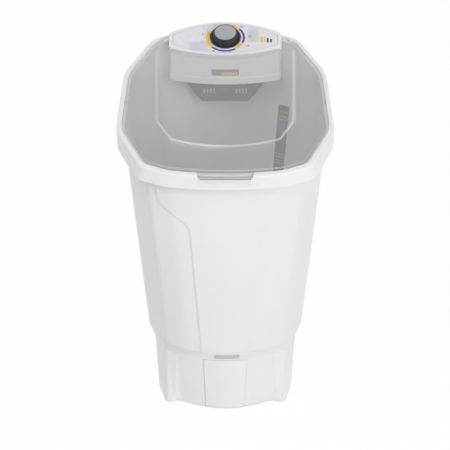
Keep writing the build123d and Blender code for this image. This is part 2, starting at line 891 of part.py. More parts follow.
with BuildPart() as bearing_housing:
    with Locations((0, drive_y, floor_height)):
        Cylinder(housing_flange_radius, housing_flange_thickness, align=DOWN_FROM)
        Cylinder(housing_radius, floor_height - housing_foot_height, align=DOWN_FROM)
        Cylinder(housing_neck_radius, floor_wall + housing_neck_height, align=UP_FROM)
    with Locations((0, drive_y, housing_foot_height)):
        Cylinder(shaft_radius + moving_gap, floor_height, align=UP_FROM, mode=Mode.SUBTRACT)
    with Locations(*bush_places):
        Cylinder(bush_radius + fit_gap, bush_length, align=UP_FROM, mode=Mode.SUBTRACT)
    with Locations((0, drive_y, floor_height)):
        with PolarLocations(housing_screw_radius, 4, start_angle=45):
            Cylinder(screw_radius + fit_gap, housing_flange_thickness, align=DOWN_FROM, mode=Mode.SUBTRACT)
export(bearing_housing.part, "bearing_housing")

for name, place in zip(("lower_bush", "upper_bush"), bush_places):
    with BuildPart() as bush:
        with Locations(place):
            ring(bush_radius, shaft_radius + running_gap, bush_length)
    export(bush.part, name)

with BuildPart() as shaft_seal:
    with Locations((0, drive_y, tub_floor + housing_neck_height)):
        ring(housing_neck_radius - moving_gap, shaft_radius + running_gap, seal_height - 2 * moving_gap)
export(shaft_seal.part, "shaft_seal")

with BuildPart() as housing_screws:
    with Locations((0, drive_y, floor_height - housing_flange_thickness)):
        with PolarLocations(housing_screw_radius, 4, start_angle=45):
            screw(housing_flange_thickness + floor_wall - moving_gap)
export(housing_screws.part, "housing_screws")


def pulley(radius, bore, arms):
    """Adds a grooved pulley standing on the open location, with arms or a solid web."""
    half = pulley_width / 2
    with BuildPart(mode=Mode.PRIVATE) as wheel:
        with BuildSketch(Plane.XZ):
            with BuildLine():
                Polyline(
                    (bore, -half),
                    (radius, -half),
                    (radius, -half + flange_lip),
                    (radius - groove_depth, -half + 2 * flange_lip),
                    (radius - groove_depth, half - 2 * flange_lip),
                    (radius, half - flange_lip),
                    (radius, half),
                    (bore, half),
                    close=True,
                )
            make_face()
        revolve(axis=Axis.Z)
        if arms:
            with BuildSketch(Plane.XY.offset(-half)):
                Circle(radius - pulley_rim)
                Circle(pulley_hub_radius, mode=Mode.SUBTRACT)
                with PolarLocations(radius / 2, arms):
                    Rectangle(radius, pulley_rim, mode=Mode.SUBTRACT)
            extrude(amount=pulley_width, mode=Mode.SUBTRACT)
    add(wheel.part)


with BuildPart() as driven_pulley:
    with Locations((0, drive_y, pulley_height)):
        pulley(driven_radius, shaft_radius + fit_gap, pulley_arms)
export(driven_pulley.part, "driven_pulley")

with BuildPart() as pulley_nut:
    with BuildSketch(Plane.XY.offset(shaft_foot_height)):
        with Locations((0, drive_y)):
            RegularPolygon(pulley_hub_radius * 2 / 3, 6)
            Circle(shaft_radius + fit_gap, mode=Mode.SUBTRACT)
    extrude(amount=pulley_foot - shaft_foot_height)
export(pulley_nut.part, "pulley_nut")

# Motor

motor_shaft_foot = pulley_foot - 3
stator_foot = motor_foot_height + end_shield_height
stator_top = stator_foot + stator_height
fan_foot = motor_top_height + moving_gap
motor_shaft_top = fan_foot + fan_height

with BuildPart() as motor_rotor:
    with Locations((0, motor_y, motor_shaft_foot)):
        Cylinder(motor_shaft_radius, motor_shaft_top - motor_shaft_foot, align=UP_FROM)
    with Locations((0, motor_y, stator_foot)):
        Cylinder(rotor_radius, stator_height, align=UP_FROM)
export(motor_rotor.part, "motor_rotor")

with BuildPart() as motor_stator:
    with Locations((0, motor_y, stator_foot)):
        ring(motor_radius, stator_bore, stator_height)
    fillet(motor_stator.edges().filter_by(GeomType.CIRCLE).sort_by(SortBy.RADIUS)[-2:], sheet)
    with Locations((0, motor_y, stator_foot)):
        with PolarLocations(through_bolt_radius, 4, start_angle=45):
            Cylinder(screw_radius + fit_gap, stator_height, align=UP_FROM, mode=Mode.SUBTRACT)
export(motor_stator.part, "motor_stator")

for name, foot, hollow_foot in (
    ("lower_end_shield", motor_foot_height, motor_foot_height + wall),
    ("upper_end_shield", stator_top, stator_top),
):
    with BuildPart() as end_shield:
        with Locations((0, motor_y, foot)):
            Cylinder(motor_radius - sheet, end_shield_height, align=UP_FROM)
        with Locations((0, motor_y, hollow_foot)):
            Cylinder(motor_radius - 2 * sheet, end_shield_height - wall, align=UP_FROM, mode=Mode.SUBTRACT)
            Cylinder(motor_shaft_radius + 2 * wall, end_shield_height - wall, align=UP_FROM)
        with Locations((0, motor_y, foot)):
            Cylinder(motor_shaft_radius + running_gap, end_shield_height, align=UP_FROM, mode=Mode.SUBTRACT)
            with PolarLocations(motor_radius * 2 / 3, shield_vents):
                Cylinder(motor_radius / 10, end_shield_height, align=UP_FROM, mode=Mode.SUBTRACT)
            with PolarLocations(through_bolt_radius, 4, start_angle=45):
                Cylinder(screw_radius + fit_gap, end_shield_height, align=UP_FROM, mode=Mode.SUBTRACT)
    export(end_shield.part, name)

with BuildPart() as motor_fan:
    with Locations((0, motor_y, fan_foot)):
        Cylinder(fan_radius, sheet, align=UP_FROM)
        Cylinder(motor_shaft_radius + wall, fan_height, align=UP_FROM)
        with PolarLocations(fan_radius * 2 / 3, fan_blades):
            Box(fan_radius / 2, sheet, fan_height, align=UP_FROM)
        Cylinder(motor_shaft_radius + fit_gap, fan_height, align=UP_FROM, mode=Mode.SUBTRACT)
export(motor_fan.part, "motor_fan")

with BuildPart() as motor_pulley:
    with Locations((0, motor_y, pulley_height)):
        pulley(motor_pulley_radius, motor_shaft_radius + fit_gap, 0)
export(motor_pulley.part, "motor_pulley")

belt_gap = moving_gap / 2
driven_pitch = driven_radius - groove_depth + belt_gap
motor_pitch = motor_pulley_radius - groove_depth + belt_gap


def belt_loop(grown):
    """Adds the outline round both pulleys, grown from the belt's inner side."""
    with BuildSketch(mode=Mode.PRIVATE) as loop:
        with Locations((0, drive_y)):
            Circle(driven_pitch)
        with Locations((0, motor_y)):
            Circle(motor_pitch)
        make_hull()
        if grown:
            offset(amount=grown, mode=Mode.REPLACE)
    add(loop.sketch)


with BuildPart() as drive_belt:
    with BuildSketch(Plane.XY.offset(pulley_height - belt_width / 2)):
        belt_loop(belt_thickness)
        with BuildSketch(mode=Mode.PRIVATE) as belt_inside:
            belt_loop(0)
        add(belt_inside.sketch, mode=Mode.SUBTRACT)
    extrude(amount=belt_width)
export(drive_belt.part, "drive_belt")

with BuildPart() as motor_bracket:
    with BuildSketch(Plane.XY.offset(bracket_height)):
        with Locations((0, motor_y)):
            RectangleRounded(2 * (mount_x + mount_radius), 2 * (mount_y + mount_radius), mount_radius)
            Circle(bracket_opening_radius, mode=Mode.SUBTRACT)
            with PolarLocations(through_bolt_radius, 4, start_angle=45):
                Circle(screw_radius + fit_gap, mode=Mode.SUBTRACT)
        with Locations(*mount_places):
            Circle(screw_radius + fit_gap, mode=Mode.SUBTRACT)
    extrude(amount=bracket_thickness)
export(motor_bracket.part, "motor_bracket")

with BuildPart() as motor_through_bolts:
    with Locations((0, motor_y, bracket_height)):
        with PolarLocations(through_bolt_radius, 4, start_angle=45):
            screw(motor_top_height - bracket_height)
export(motor_through_bolts.part, "motor_through_bolts")

with BuildPart() as motor_mounts:
    with Locations(*[(x, y, motor_foot_height) for x, y in mount_places]):
        ring(mount_radius, screw_radius + fit_gap, mount_height)
export(motor_mounts.part, "motor_mounts")

with BuildPart() as motor_bolts:
    with Locations(*[(x, y, bracket_height) for x, y in mount_places]):
        screw(bracket_thickness + mount_height + mount_screw_depth - moving_gap)
export(motor_bolts.part, "motor_bolts")

with BuildPart() as capacitor:
    with Locations((capacitor_x, capacitor_y, floor_height - capacitor_drop)):
        Cylinder(capacitor_radius, capacitor_length, align=DOWN_FROM)
    fillet(capacitor.edges(), 2)
    with Locations((capacitor_x, capacitor_y, floor_height - capacitor_drop - capacitor_length)):
        with GridLocations(capacitor_radius / 2, capacitor_radius / 2, 2, 1):
            Box(sheet, 3 * sheet, 2 * wall, align=DOWN_FROM)
export(capacitor.part, "capacitor")

clip_height = capacitor_drop + capacitor_length / 2

with BuildPart() as capacitor_clip:
    with Locations((capacitor_x, capacitor_y, floor_height)):
        ring(capacitor_radius + sheet, capacitor_radius + fit_gap, clip_height, DOWN_FROM)
        Box(clip_foot_length, clip_foot_width, sheet, align=DOWN_FROM)
    with Locations(*[(x, y, floor_height) for x, y in clip_screw_places]):
        Cylinder(screw_radius + fit_gap, sheet, align=DOWN_FROM, mode=Mode.SUBTRACT)
export(capacitor_clip.part, "capacitor_clip")

with BuildPart() as capacitor_screws:
    with Locations(*[(x, y, floor_height - sheet) for x, y in clip_screw_places]):
        screw(sheet + clip_screw_depth - moving_gap)
export(capacitor_screws.part, "capacitor_screws")

# Console

console_y = rim_front + console_front_setback
console_z = rim_height(console_y) + console_step
console_foot = console_z - console_drop
console_side_y = console_y + console_front_bow
panel_tilt = math.radians(console_tilt)
panel_up = Vector(0, -math.sin(panel_tilt), math.cos(panel_tilt))
clear_length = rim_front_height  # runs past whatever it cuts


def panel_plane(rise=0.0):
    """The control panel's plane, moved out of its face by rise. Its y runs back from the front edge."""
    return Plane(origin=Vector(0, console_y, console_z) + panel_up * rise, x_dir=(1, 0, 0), z_dir=panel_up)


def rim_room(inset):
    """The room over the rim and in the tub's mouth, drawn in by inset from the tub."""
    raised = clear_length / 8
    with BuildPart() as room:
        add(tub_shape(wall + static_gap + inset, tub_floor))
        slab(rim_outline, rim_plane(-raised), lip_width + ledge_width + static_gap + inset, raised)
        slab(rim_outline, rim_plane(-raised), inset, raised - static_gap - inset)
    return room.part


def console_column(inset, foot):
    """An upright block with the console's plan, drawn in by inset."""
    half = console_width / 2 - inset
    side_y = console_side_y + inset
    back_y = console_y + console_length - inset
    back_side_y = back_y - console_back_bow
    with BuildPart() as column:
        with BuildSketch(Plane.XY.offset(foot)) as plan:
            with BuildLine():
                ThreePointArc((-half, side_y), (0, console_y + inset), (half, side_y))
                Line((half, side_y), (half, back_side_y))
                ThreePointArc((half, back_side_y), (0, back_y), (-half, back_side_y))
                Line((-half, back_side_y), (-half, side_y))
            make_face()
            fillet(plan.vertices(), console_rounding - inset / 2)
        extrude(amount=clear_length)
    return column.part


def console_block(inset, foot, top_rise, foot_rise=None):
    """The console's block, drawn in by inset, from foot or foot_rise up to top_rise.

    foot is a height over the floor. The rises are counted out of the panel's face.
    """
    with BuildPart() as block:
        add(console_column(inset, foot))
        add(rim_room(inset), mode=Mode.INTERSECT)
        split(bisect_by=panel_plane(top_rise), keep=Keep.BOTTOM)
        if foot_rise is not None:
            split(bisect_by=panel_plane(foot_rise), keep=Keep.TOP)
    return block.part


hinge_point = Vector(rim_plane().from_local_coords((0, hinge_setback, hinge_rise)))
pin_start = console_width / 2 - pin_end_gap
knob_plane = Plane(
    origin=panel_plane().from_local_coords((0, knob_setback, 0)),
    x_dir=(1, 0, 0),
    z_dir=panel_up,
)
screw_posts = [
    (side * x, y, console_z + (y - console_y) * math.tan(panel_tilt) - panel_skirt / 2)
    for x, y in ((console_screw_front_x, console_screw_front_y), (console_screw_back_x, console_screw_back_y))
    for side in (-1, 1)
]
overlay_block = console_block(overlay_border, console_foot, 0, -overlay_thickness)
housing_floor = console_foot + wall
label_middle = (0, console_y, console_z - console_label_drop)


def label_block(grown):
    """The console's label, a thin strip along the housing's front, grown all round."""
    with BuildPart() as block:
        with Locations(label_middle):
            Box(console_label_width + 2 * grown, 4 * wall, console_label_height + 2 * grown)
        add(console_column(console_reveal, console_foot), mode=Mode.INTERSECT)
        add(console_column(console_reveal + label_thickness + grown, console_foot), mode=Mode.SUBTRACT)
    return block.part


def console_post(radius, below_tip, mode=Mode.ADD):
    """Adds or cuts upright rods where the console's screws run, up to a depth below their tips."""
    for x, y, tip in screw_posts:
        with Locations((x, y, console_foot)):
            Cylinder(radius, tip - console_foot - below_tip, align=UP_FROM, mode=mode)


with BuildPart() as console_lip:
    add(console_block(console_reveal - console_lip_reach, console_foot, -panel_skirt))
    split(bisect_by=Plane.XY.offset(console_foot + console_lip_height), keep=Keep.BOTTOM)

with BuildPart() as console_housing:
    add(console_block(console_reveal, console_foot, -panel_skirt))
    add(console_lip.part)
    add(console_block(console_reveal + wall, housing_floor, clear_length), mode=Mode.SUBTRACT)
    console_post(screw_head_radius + moving_gap + sheet, -clear_length)
    split(bisect_by=panel_plane(-panel_skirt), keep=Keep.BOTTOM)
    console_post(screw_radius + fit_gap, 0, mode=Mode.SUBTRACT)
    console_post(screw_head_radius + moving_gap, console_screw_length, mode=Mode.SUBTRACT)
    add(label_block(static_gap), mode=Mode.SUBTRACT)
    cut_window(upper_window_height)
export(console_housing.part, "console_housing")

export(label_block(0), "console_label")

with BuildPart() as control_panel:
    add(console_block(0, console_foot, 0, -panel_skirt))
    fillet(control_panel.faces().sort_by(Axis((0, 0, 0), panel_up))[-1].edges(), panel_rounding)
    add(console_block(wall, console_foot, -panel_plate), mode=Mode.SUBTRACT)
    console_post(screw_head_radius + moving_gap + sheet, -panel_skirt / 2)
    split(bisect_by=panel_plane(-panel_skirt), keep=Keep.TOP)
    split(bisect_by=panel_plane(), keep=Keep.BOTTOM)
    console_post(screw_radius, 0, mode=Mode.SUBTRACT)
    add(overlay_block, mode=Mode.SUBTRACT)
    with Locations(knob_plane.location):
        Cylinder(timer_neck_radius + fit_gap, 2 * panel_skirt, mode=Mode.SUBTRACT)
    with Locations((0, hinge_point.Y, hinge_point.Z)):
        Cylinder(pin_radius + fit_gap, 2 * console_width, rotation=(0, 90, 0), mode=Mode.SUBTRACT)
export(control_panel.part, "control_panel")

with BuildPart() as panel_overlay:
    add(overlay_block)
    with Locations(knob_plane.location):
        Cylinder(timer_neck_radius + fit_gap, 2 * panel_skirt, mode=Mode.SUBTRACT)
export(panel_overlay.part, "panel_overlay")

with BuildPart() as console_screws:
    with Locations(*[(x, y, tip - console_screw_length) for x, y, tip in screw_posts]):
        screw(console_screw_length - moving_gap)
export(console_screws.part, "console_screws")

with BuildPart() as lid_hinge_pins:
    for side, outward in ((-1, Align.MAX), (1, Align.MIN)):
        with Locations(Location((side * pin_start, hinge_point.Y, hinge_point.Z), (0, 90, 0))):
            Cylinder(pin_radius, pin_length, align=(Align.CENTER, Align.CENTER, outward))
export(lid_hinge_pins.part, "lid_hinge_pins")

# Timer and knob

timer_top = -panel_plate
neck_top = timer_nut_height
shaft_hub_top = knob_height - knob_cap_thickness - knob_wall

with BuildPart() as timer_body:
    with BuildSketch(knob_plane.offset(timer_top)):
        RectangleRounded(timer_width, timer_length, wall)
    extrude(amount=-timer_height)
    with BuildSketch(knob_plane.offset(timer_top)):
        Circle(timer_neck_radius)
    extrude(amount=neck_top - timer_top)
    with BuildSketch(knob_plane.offset(neck_top)):
        Circle(timer_shaft_radius + running_gap)
    extrude(amount=timer_top - timer_height / 2 - neck_top, mode=Mode.SUBTRACT)
    with BuildSketch(knob_plane.offset(timer_top - timer_height)):
        with GridLocations(timer_width / 4, timer_length / 2, 4, 1):
            Rectangle(sheet, 3 * sheet)
    extrude(amount=-3 * sheet)
export(timer_body.part, "timer_body")

with BuildPart() as timer_nut:
    with BuildSketch(knob_plane):
        RegularPolygon(timer_nut_radius, 6)
        Circle(timer_neck_radius + fit_gap, mode=Mode.SUBTRACT)
    extrude(amount=timer_nut_height)
export(timer_nut.part, "timer_nut")

with BuildPart() as timer_shaft:
    with BuildSketch(knob_plane.offset(shaft_hub_top)):
        Circle(timer_shaft_radius)
    extrude(amount=timer_top - timer_height / 2 + sheet - shaft_hub_top)
export(timer_shaft.part, "timer_shaft")

with BuildPart() as knob:
    with BuildSketch(knob_plane.offset(moving_gap)):
        Circle(knob_flange_radius)
    extrude(amount=knob_flange_thickness)
    with BuildSketch(knob_plane.offset(moving_gap)):
        Circle(knob_foot_radius)
    with BuildSketch(knob_plane.offset(knob_height)):
        Circle(knob_top_radius)
    loft()
    with BuildSketch(knob_plane.offset(knob_height)):
        Circle(knob_cap_radius + fit_gap)
    extrude(amount=-knob_cap_thickness, mode=Mode.SUBTRACT)
    with BuildSketch(knob_plane.offset(moving_gap)):
        Circle(knob_top_radius - knob_wall)
        Circle(knob_hub_radius, mode=Mode.SUBTRACT)
    extrude(amount=shaft_hub_top - moving_gap, mode=Mode.SUBTRACT)
    with BuildSketch(knob_plane.offset(moving_gap)):
        Circle(timer_nut_radius + moving_gap)
    extrude(amount=timer_nut_height + moving_gap, mode=Mode.SUBTRACT)
    with BuildSketch(knob_plane):
        Circle(timer_shaft_radius + fit_gap)
    extrude(amount=shaft_hub_top, mode=Mode.SUBTRACT)
    rib_foot = knob_flange_thickness + moving_gap
    with BuildPart(mode=Mode.PRIVATE) as rib:
        with BuildSketch(Plane.XY.offset(rib_foot)):
            with Locations((knob_foot_radius, 0)):
                Circle(knob_rib_radius)
        with BuildSketch(Plane.XY.offset(knob_height - 2 * knob_rib_radius)):
            with Locations((knob_top_radius + knob_rib_radius, 0)):
                Circle(knob_rib_radius / 2)
        loft()
    with Locations(knob_plane.location):
        with PolarLocations(0, knob_ribs):
            add(rib.part)
export(knob.part, "knob")

with BuildPart() as knob_cap:
    with BuildSketch(knob_plane.offset(knob_height - knob_cap_thickness)):
        Circle(knob_cap_radius)
    extrude(amount=knob_cap_thickness)
export(knob_cap.part, "knob_cap")

# Lid

lid_bottom = seat_depth - lid_lift  # below the rim's plane
lid_top = lid_bottom - lid_wall
lid_inset = lip_width + lid_gap
reach = grip_reach / math.cos(tilt)
ear_start = console_width / 2 + notch_gap


def trace_plateau(inset):
    """Adds the lid's raised middle to the open sketch, drawn in by inset."""
    front = plateau_front_setback
    shoulder = front + plateau_front_bow
    cheek = shoulder + plateau_cheek
    right = [
        (plateau_front_width / 2, shoulder),
        (plateau_mid_width / 2, cheek),
        (plateau_back_width / 2, plateau_back_setback),
    ]
    left = [(-x, y) for x, y in right]
    with BuildSketch(mode=Mode.PRIVATE) as face:
        with BuildLine():
            ThreePointArc(left[0], (0, front), right[0])
            Polyline(*right)
            Line(right[-1], left[-1])
            Polyline(*reversed(left))
        make_face()
        fillet(face.vertices().group_by(Axis.Y)[0] + face.vertices().group_by(Axis.Y)[1], plateau_rounding)
        if inset:
            offset(amount=-inset, kind=Kind.INTERSECTION, mode=Mode.REPLACE)
    add(face.sketch)


def plateau(inset, bottom, top):
    """The frustum of the lid's raised middle, between two depths under the rim's plane."""
    with BuildPart() as frustum:
        with BuildSketch(rim_plane(bottom)):
            trace_plateau(inset)
        with BuildSketch(rim_plane(top)):
            trace_plateau(inset + plateau_slope)
        loft(ruled=True)
    return frustum.part


hinge_frame = Plane(
    origin=rim_plane().origin,
    x_dir=(0, math.cos(tilt), math.sin(tilt)),
    z_dir=(1, 0, 0),
)
lid_end = Plane(
    origin=rim_plane().from_local_coords((0, hinge_setback, 0)),
    z_dir=hinge_frame.x_dir,
)

with BuildPart() as lid:
    slab(rim_outline, rim_plane(lid_top), lid_inset, lid_wall)
    slab(rim_outline, rim_plane(lid_top - bead_rise), lid_inset + bead_inset, bead_rise)
    slab(
        rim_outline,
        rim_plane(lid_top - bead_rise),
        lid_inset + bead_inset + bead_width,
        bead_rise,
        mode=Mode.SUBTRACT,
    )
    add(plateau(0, lid_top, lid_top - plateau_rise))
    add(plateau(lid_wall, lid_bottom, lid_bottom - plateau_rise), mode=Mode.SUBTRACT)
    with BuildSketch(rim_plane(lid_top)):
        trace_grip(0, reach)
    extrude(amount=lid_wall, dir=DOWN)
    with BuildSketch(rim_plane(lid_top)):
        with Locations((0, -reach)):
            Rectangle(grip_width, grip_lip_wall, align=(Align.CENTER, Align.MIN))
    extrude(amount=lid_wall + grip_lip_height, dir=DOWN)
    with BuildSketch(rim_plane(lid_top)):
        with Locations((0, lip_width / 2)):
            SlotOverall(grip_width - 2 * grip_flare, lip_width / 3)
    extrude(amount=lid_wall / 3, dir=DOWN, mode=Mode.SUBTRACT)
    add(console_column(-notch_gap, console_foot), mode=Mode.SUBTRACT)
    split(bisect_by=lid_end, keep=Keep.BOTTOM)
    for side in (-1, 1):
        ear_middle = side * (ear_start + ear_width / 2)
        with BuildSketch(hinge_frame.offset(ear_middle)):
            with BuildLine():
                Polyline(
                    (hinge_setback - 3 * barrel_radius, -lid_bottom),
                    (hinge_setback, -lid_bottom),
                    (hinge_setback, hinge_rise),
                    (hinge_setback - barrel_radius, hinge_rise),
                    close=True,
                )
            make_face()
            with Locations((hinge_setback, hinge_rise)):
                Circle(barrel_radius)
        extrude(amount=ear_width / 2, both=True)
        with BuildSketch(hinge_frame.offset(ear_middle)):
            with Locations((hinge_setback, hinge_rise)):
                Circle(pin_radius + running_gap)
        extrude(amount=ear_width / 2, both=True, mode=Mode.SUBTRACT)
export(lid.part, "lid")

side_front, side_back = (Vector(*corner) for corner in rim_outline.corners()[2:4])
side_middle = (side_front + side_back) / 2
bumper_places = [
    (side * x, y, angle)
    for x, y, angle in (
        (bumper_front_x, bumper_front_y, 0),
        (side_middle.X - lip_width - ledge_width / 2, side_middle.Y, 90),
    )
    for side in (-1, 1)
]

with BuildPart() as lid_bumpers:
    with BuildSketch(rim_plane(seat_depth)):
        for x, y, angle in bumper_places:
            with Locations((x, y)):
                Rectangle(bumper_length, bumper_width, rotation=angle)
    extrude(amount=lid_lift - static_gap, dir=(0, 0, 1))
export(lid_bumpers.part, "lid_bumpers")

# Lint filter

filter_y = rim_front + filter_face_setback


def trapezoid_half(height):
    """Half of the filter's width at a height."""
    spread = (filter_top_width - filter_foot_width) / filter_face_height
    return (filter_foot_width + (height - filter_foot_height) * spread) / 2


def trapezoid(grown, foot, top):
    """Adds the filter's face, seen from the front, to the open sketch, grown at its slanted sides."""
    half_foot = trapezoid_half(foot) + grown
    half_top = trapezoid_half(top) + grown
    with BuildSketch(mode=Mode.PRIVATE) as face:
        with BuildLine():
            Polyline((-half_foot, foot), (half_foot, foot), (half_top, top), (-half_top, top), close=True)
        make_face()
    add(face.sketch)


filter_top_height = filter_foot_height + filter_face_height
wall_room = tub_shape(wall + moving_gap, tub_floor)

with BuildPart() as lint_filter_frame:
    with BuildSketch(Plane.XZ.offset(-filter_y)):
        trapezoid(0, filter_foot_height, filter_top_height)
    extrude(amount=-rim_back)
    with BuildSketch(Plane.XZ.offset(-filter_y + filter_lip_reach)):
        trapezoid(0, filter_foot_height - filter_lip_height, filter_foot_height)
    extrude(amount=-rim_back)
    add(wall_room, mode=Mode.INTERSECT)
    with BuildSketch(Plane.XZ.offset(-filter_y - filter_wall)):
        trapezoid(-filter_wall, filter_foot_height + filter_wall, filter_top_height - filter_wall)
    extrude(amount=-rim_back, mode=Mode.SUBTRACT)
    with BuildSketch(Plane.XZ.offset(-filter_y)):
        with Locations((0, (filter_foot_height + filter_slot_middle))):
            with GridLocations(2 * filter_group_offset, 1, 2, 1):
                with GridLocations(filter_slot_pitch, 1, filter_slots, 1):
                    SlotOverall(filter_slot_height, filter_slot_width, rotation=90)
    extrude(amount=-filter_wall, mode=Mode.SUBTRACT)
export(lint_filter_frame.part, "lint_filter_frame")

net_inset = filter_wall + fit_gap
net_foot = filter_foot_height + net_inset
net_top = filter_top_height - net_inset

with BuildPart() as filter_net:
    with BuildSketch(Plane.XZ.offset(-filter_y - net_setback)):
        trapezoid(-net_inset, net_foot, net_top)
        for row in range(net_rows):
            height = net_foot + net_pitch * (row + 1)
            half_count = int((trapezoid_half(height) - net_inset - net_hole) / net_pitch)
            with Locations((0, height)):
                with GridLocations(net_pitch, net_pitch, 2 * half_count - 1, 1):
                    Rectangle(net_hole, net_hole, mode=Mode.SUBTRACT)
    extrude(amount=-net_thickness)
export(filter_net.part, "filter_net")

with BuildPart() as filter_guides:
    with BuildSketch(Plane.XZ.offset(-filter_y - filter_wall)):
        trapezoid(moving_gap + guide_width, filter_foot_height, filter_foot_height + guide_height)
    extrude(amount=-rim_back)
    with BuildSketch(Plane.XZ.offset(-filter_y)):
        trapezoid(moving_gap, filter_foot_height - filter_lip_height, filter_top_height)
    extrude(amount=-rim_back, mode=Mode.SUBTRACT)
    add(tub_shape(wall, tub_floor), mode=Mode.INTERSECT)
export(filter_guides.part, "filter_guides")

# Level strip and badge

with BuildPart() as level_strip:
    with BuildSketch(Plane.XZ):
        with BuildLine():
            Polyline(
                (strip_foot_x, strip_foot_height),
                (strip_foot_x + strip_width, strip_foot_height),
                (strip_top_x + strip_width, strip_top_height),
                (strip_top_x, strip_top_height),
                close=True,
            )
        make_face()
    extrude(amount=-rim_back)
    add(tub_shape(wall, tub_floor), mode=Mode.INTERSECT)
    add(tub_shape(wall + strip_thickness, tub_floor), mode=Mode.SUBTRACT)
export(level_strip.part, "level_strip")

with BuildPart() as front_badge:
    with Locations((badge_x, rim_front, badge_foot_height)):
        Box(badge_width, -rim_front, badge_height, align=UP_FROM)
    add(base_shape(0, floor_height, foot_height, badge_thickness), mode=Mode.INTERSECT)
    add(base_shape(0, floor_height, foot_height), mode=Mode.SUBTRACT)
export(front_badge.part, "front_badge")

# Back of the machine

def duct_block(depth, half_width, shortened):
    """A block over the machine's back face, along the duct."""
    heights = (duct_foot_height + shortened, base_top_height, floor_height, duct_top_height - shortened)
    with BuildPart() as block:
        with BuildSketch(Plane.YZ):
            with BuildLine():
                Polyline(
                    *[(back_wall_y(height) + depth, height) for height in heights],
                    *[(back_wall_y(height) - duct_depth, height) for height in reversed(heights)],
                    close=True,
                )
            make_face()
        extrude(amount=half_width, both=True)
    return block.part


with BuildPart() as back_duct_cover:
    add(duct_block(duct_depth, duct_width / 2, 0))
    add(duct_block(duct_wall, duct_width / 2 + duct_flange, 0))
    add(duct_block(duct_depth - duct_wall, duct_width / 2 - duct_wall, duct_wall), mode=Mode.SUBTRACT)
    add(base_outer, mode=Mode.SUBTRACT)
    add(tub_body, mode=Mode.SUBTRACT)
    cut_duct_screws(screw_radius + fit_gap)
export(back_duct_cover.part, "back_duct_cover")

with BuildPart() as duct_screws:
    for x, height in duct_screw_places:
        with Locations(Location((x, back_wall_y(height) + duct_wall + static_gap, height), (90, 0, 0))):
            screw(duct_wall + wall - moving_gap)
export(duct_screws.part, "duct_screws")

timer_foot = knob_plane.from_local_coords((0, 0, timer_top - timer_height))
cable_route = [
    (0, motor_y + motor_radius + static_gap, 128),
    (0, motor_y + motor_radius + 11, 128),
    (0, back_wall_y(172) + cable_offset, 172),
    (0, back_wall_y(196) + cable_offset, 196),
    (0, back_wall_y(842) + cable_offset, 842),
    tuple(timer_foot - panel_up * 12),
    tuple(timer_foot),
]

with BuildPart() as wiring_harness:
    with BuildLine() as cable_line:
        FilletPolyline(*cable_route, radius=bend_radii(cable_route))
    with BuildSketch(Plane(origin=cable_route[0], z_dir=Vector(cable_route[1]) - Vector(cable_route[0]))):
        Circle(cable_radius)
    sweep()
print("cable radii:", [round(radius, 1) for radius in bend_radii(cable_route)])
print("cable volume over its section times its length:")
print(wiring_harness.part.volume / (math.pi * cable_radius**2 * cable_line.wires()[0].length))
export(wiring_harness.part, "wiring_harness")
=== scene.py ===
"""The looks of a tall top-loading washing machine, built around its frame of real pieces.

Lengths are in metres, in the frame of the pieces: +Z up, the front is -Y, the floor is z = 0.
Only the pieces printed on the control panel are given in millimetres, round the knob's axis.
"""

import json
import math
from collections import Counter

import bmesh
import bpy
from mathutils import Matrix, Vector


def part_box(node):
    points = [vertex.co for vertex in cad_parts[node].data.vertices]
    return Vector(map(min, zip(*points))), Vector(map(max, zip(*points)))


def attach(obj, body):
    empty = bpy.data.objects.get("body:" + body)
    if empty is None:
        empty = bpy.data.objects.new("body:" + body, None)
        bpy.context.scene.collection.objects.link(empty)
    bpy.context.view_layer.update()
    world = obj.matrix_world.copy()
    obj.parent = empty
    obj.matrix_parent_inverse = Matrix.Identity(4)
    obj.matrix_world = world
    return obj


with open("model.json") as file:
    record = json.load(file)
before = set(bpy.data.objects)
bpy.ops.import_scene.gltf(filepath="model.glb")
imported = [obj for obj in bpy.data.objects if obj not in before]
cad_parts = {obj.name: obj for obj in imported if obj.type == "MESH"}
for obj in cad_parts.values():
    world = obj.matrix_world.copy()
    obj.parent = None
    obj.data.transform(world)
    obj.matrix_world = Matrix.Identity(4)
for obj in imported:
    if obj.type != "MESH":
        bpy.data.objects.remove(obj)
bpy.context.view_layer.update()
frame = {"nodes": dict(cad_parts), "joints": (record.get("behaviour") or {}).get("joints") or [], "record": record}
nodes = frame["nodes"]
joints = {joint["name"]: joint for joint in frame["joints"]}

MM = 0.001

# Camera, fitted to the photograph's perspective
camera_lens = 112.0
camera_sensor = 36.0
camera_place = (-0.8 * MM, -3291.2 * MM, 2358.0 * MM)
camera_pitch = 60.0
camera_reach = 50.0

# Soft round lamps: place, what they look at, width in metres and strength in watts
LAMPS = {
    "key": ((2.4, -3.0, 2.1), (0, 0, 0.5), 1.8, 49.0),
    "low": ((1.2, -3.7, 0.45), (0, 0, 0.6), 2.0, 12.0),
    "fill": ((-2.2, -3.4, 1.4), (0, 0, 0.4), 2.4, 6.0),
    "top": ((-0.8, -1.7, 3.3), (0, 0.1, 0.6), 1.6, 27.0),
    "back_right": ((2.4, 3.0, 1.9), (0, 0, 0.5), 2.2, 30.0),
    "back_left": ((-2.4, 2.6, 1.5), (0, 0, 0.4), 2.2, 20.0),
}

# Pale floor and background: the floor glows for the camera, and the background lights less than it shows
floor_side = 14.0
floor_grey = 0.86
floor_glow_share = 0.97
background_light = 0.46
background_shown = 1.0

# Slope of the closed lid
lid_slope = math.radians(15.0)

# The control panel's plane, from the knob's joint
knob_point = Vector(joints["knob_turn"]["pos_m"])
panel_normal = -Vector(joints["knob_turn"]["axis"]).normalized()
panel_right = Vector((1, 0, 0))
panel_up = panel_normal.cross(panel_right)

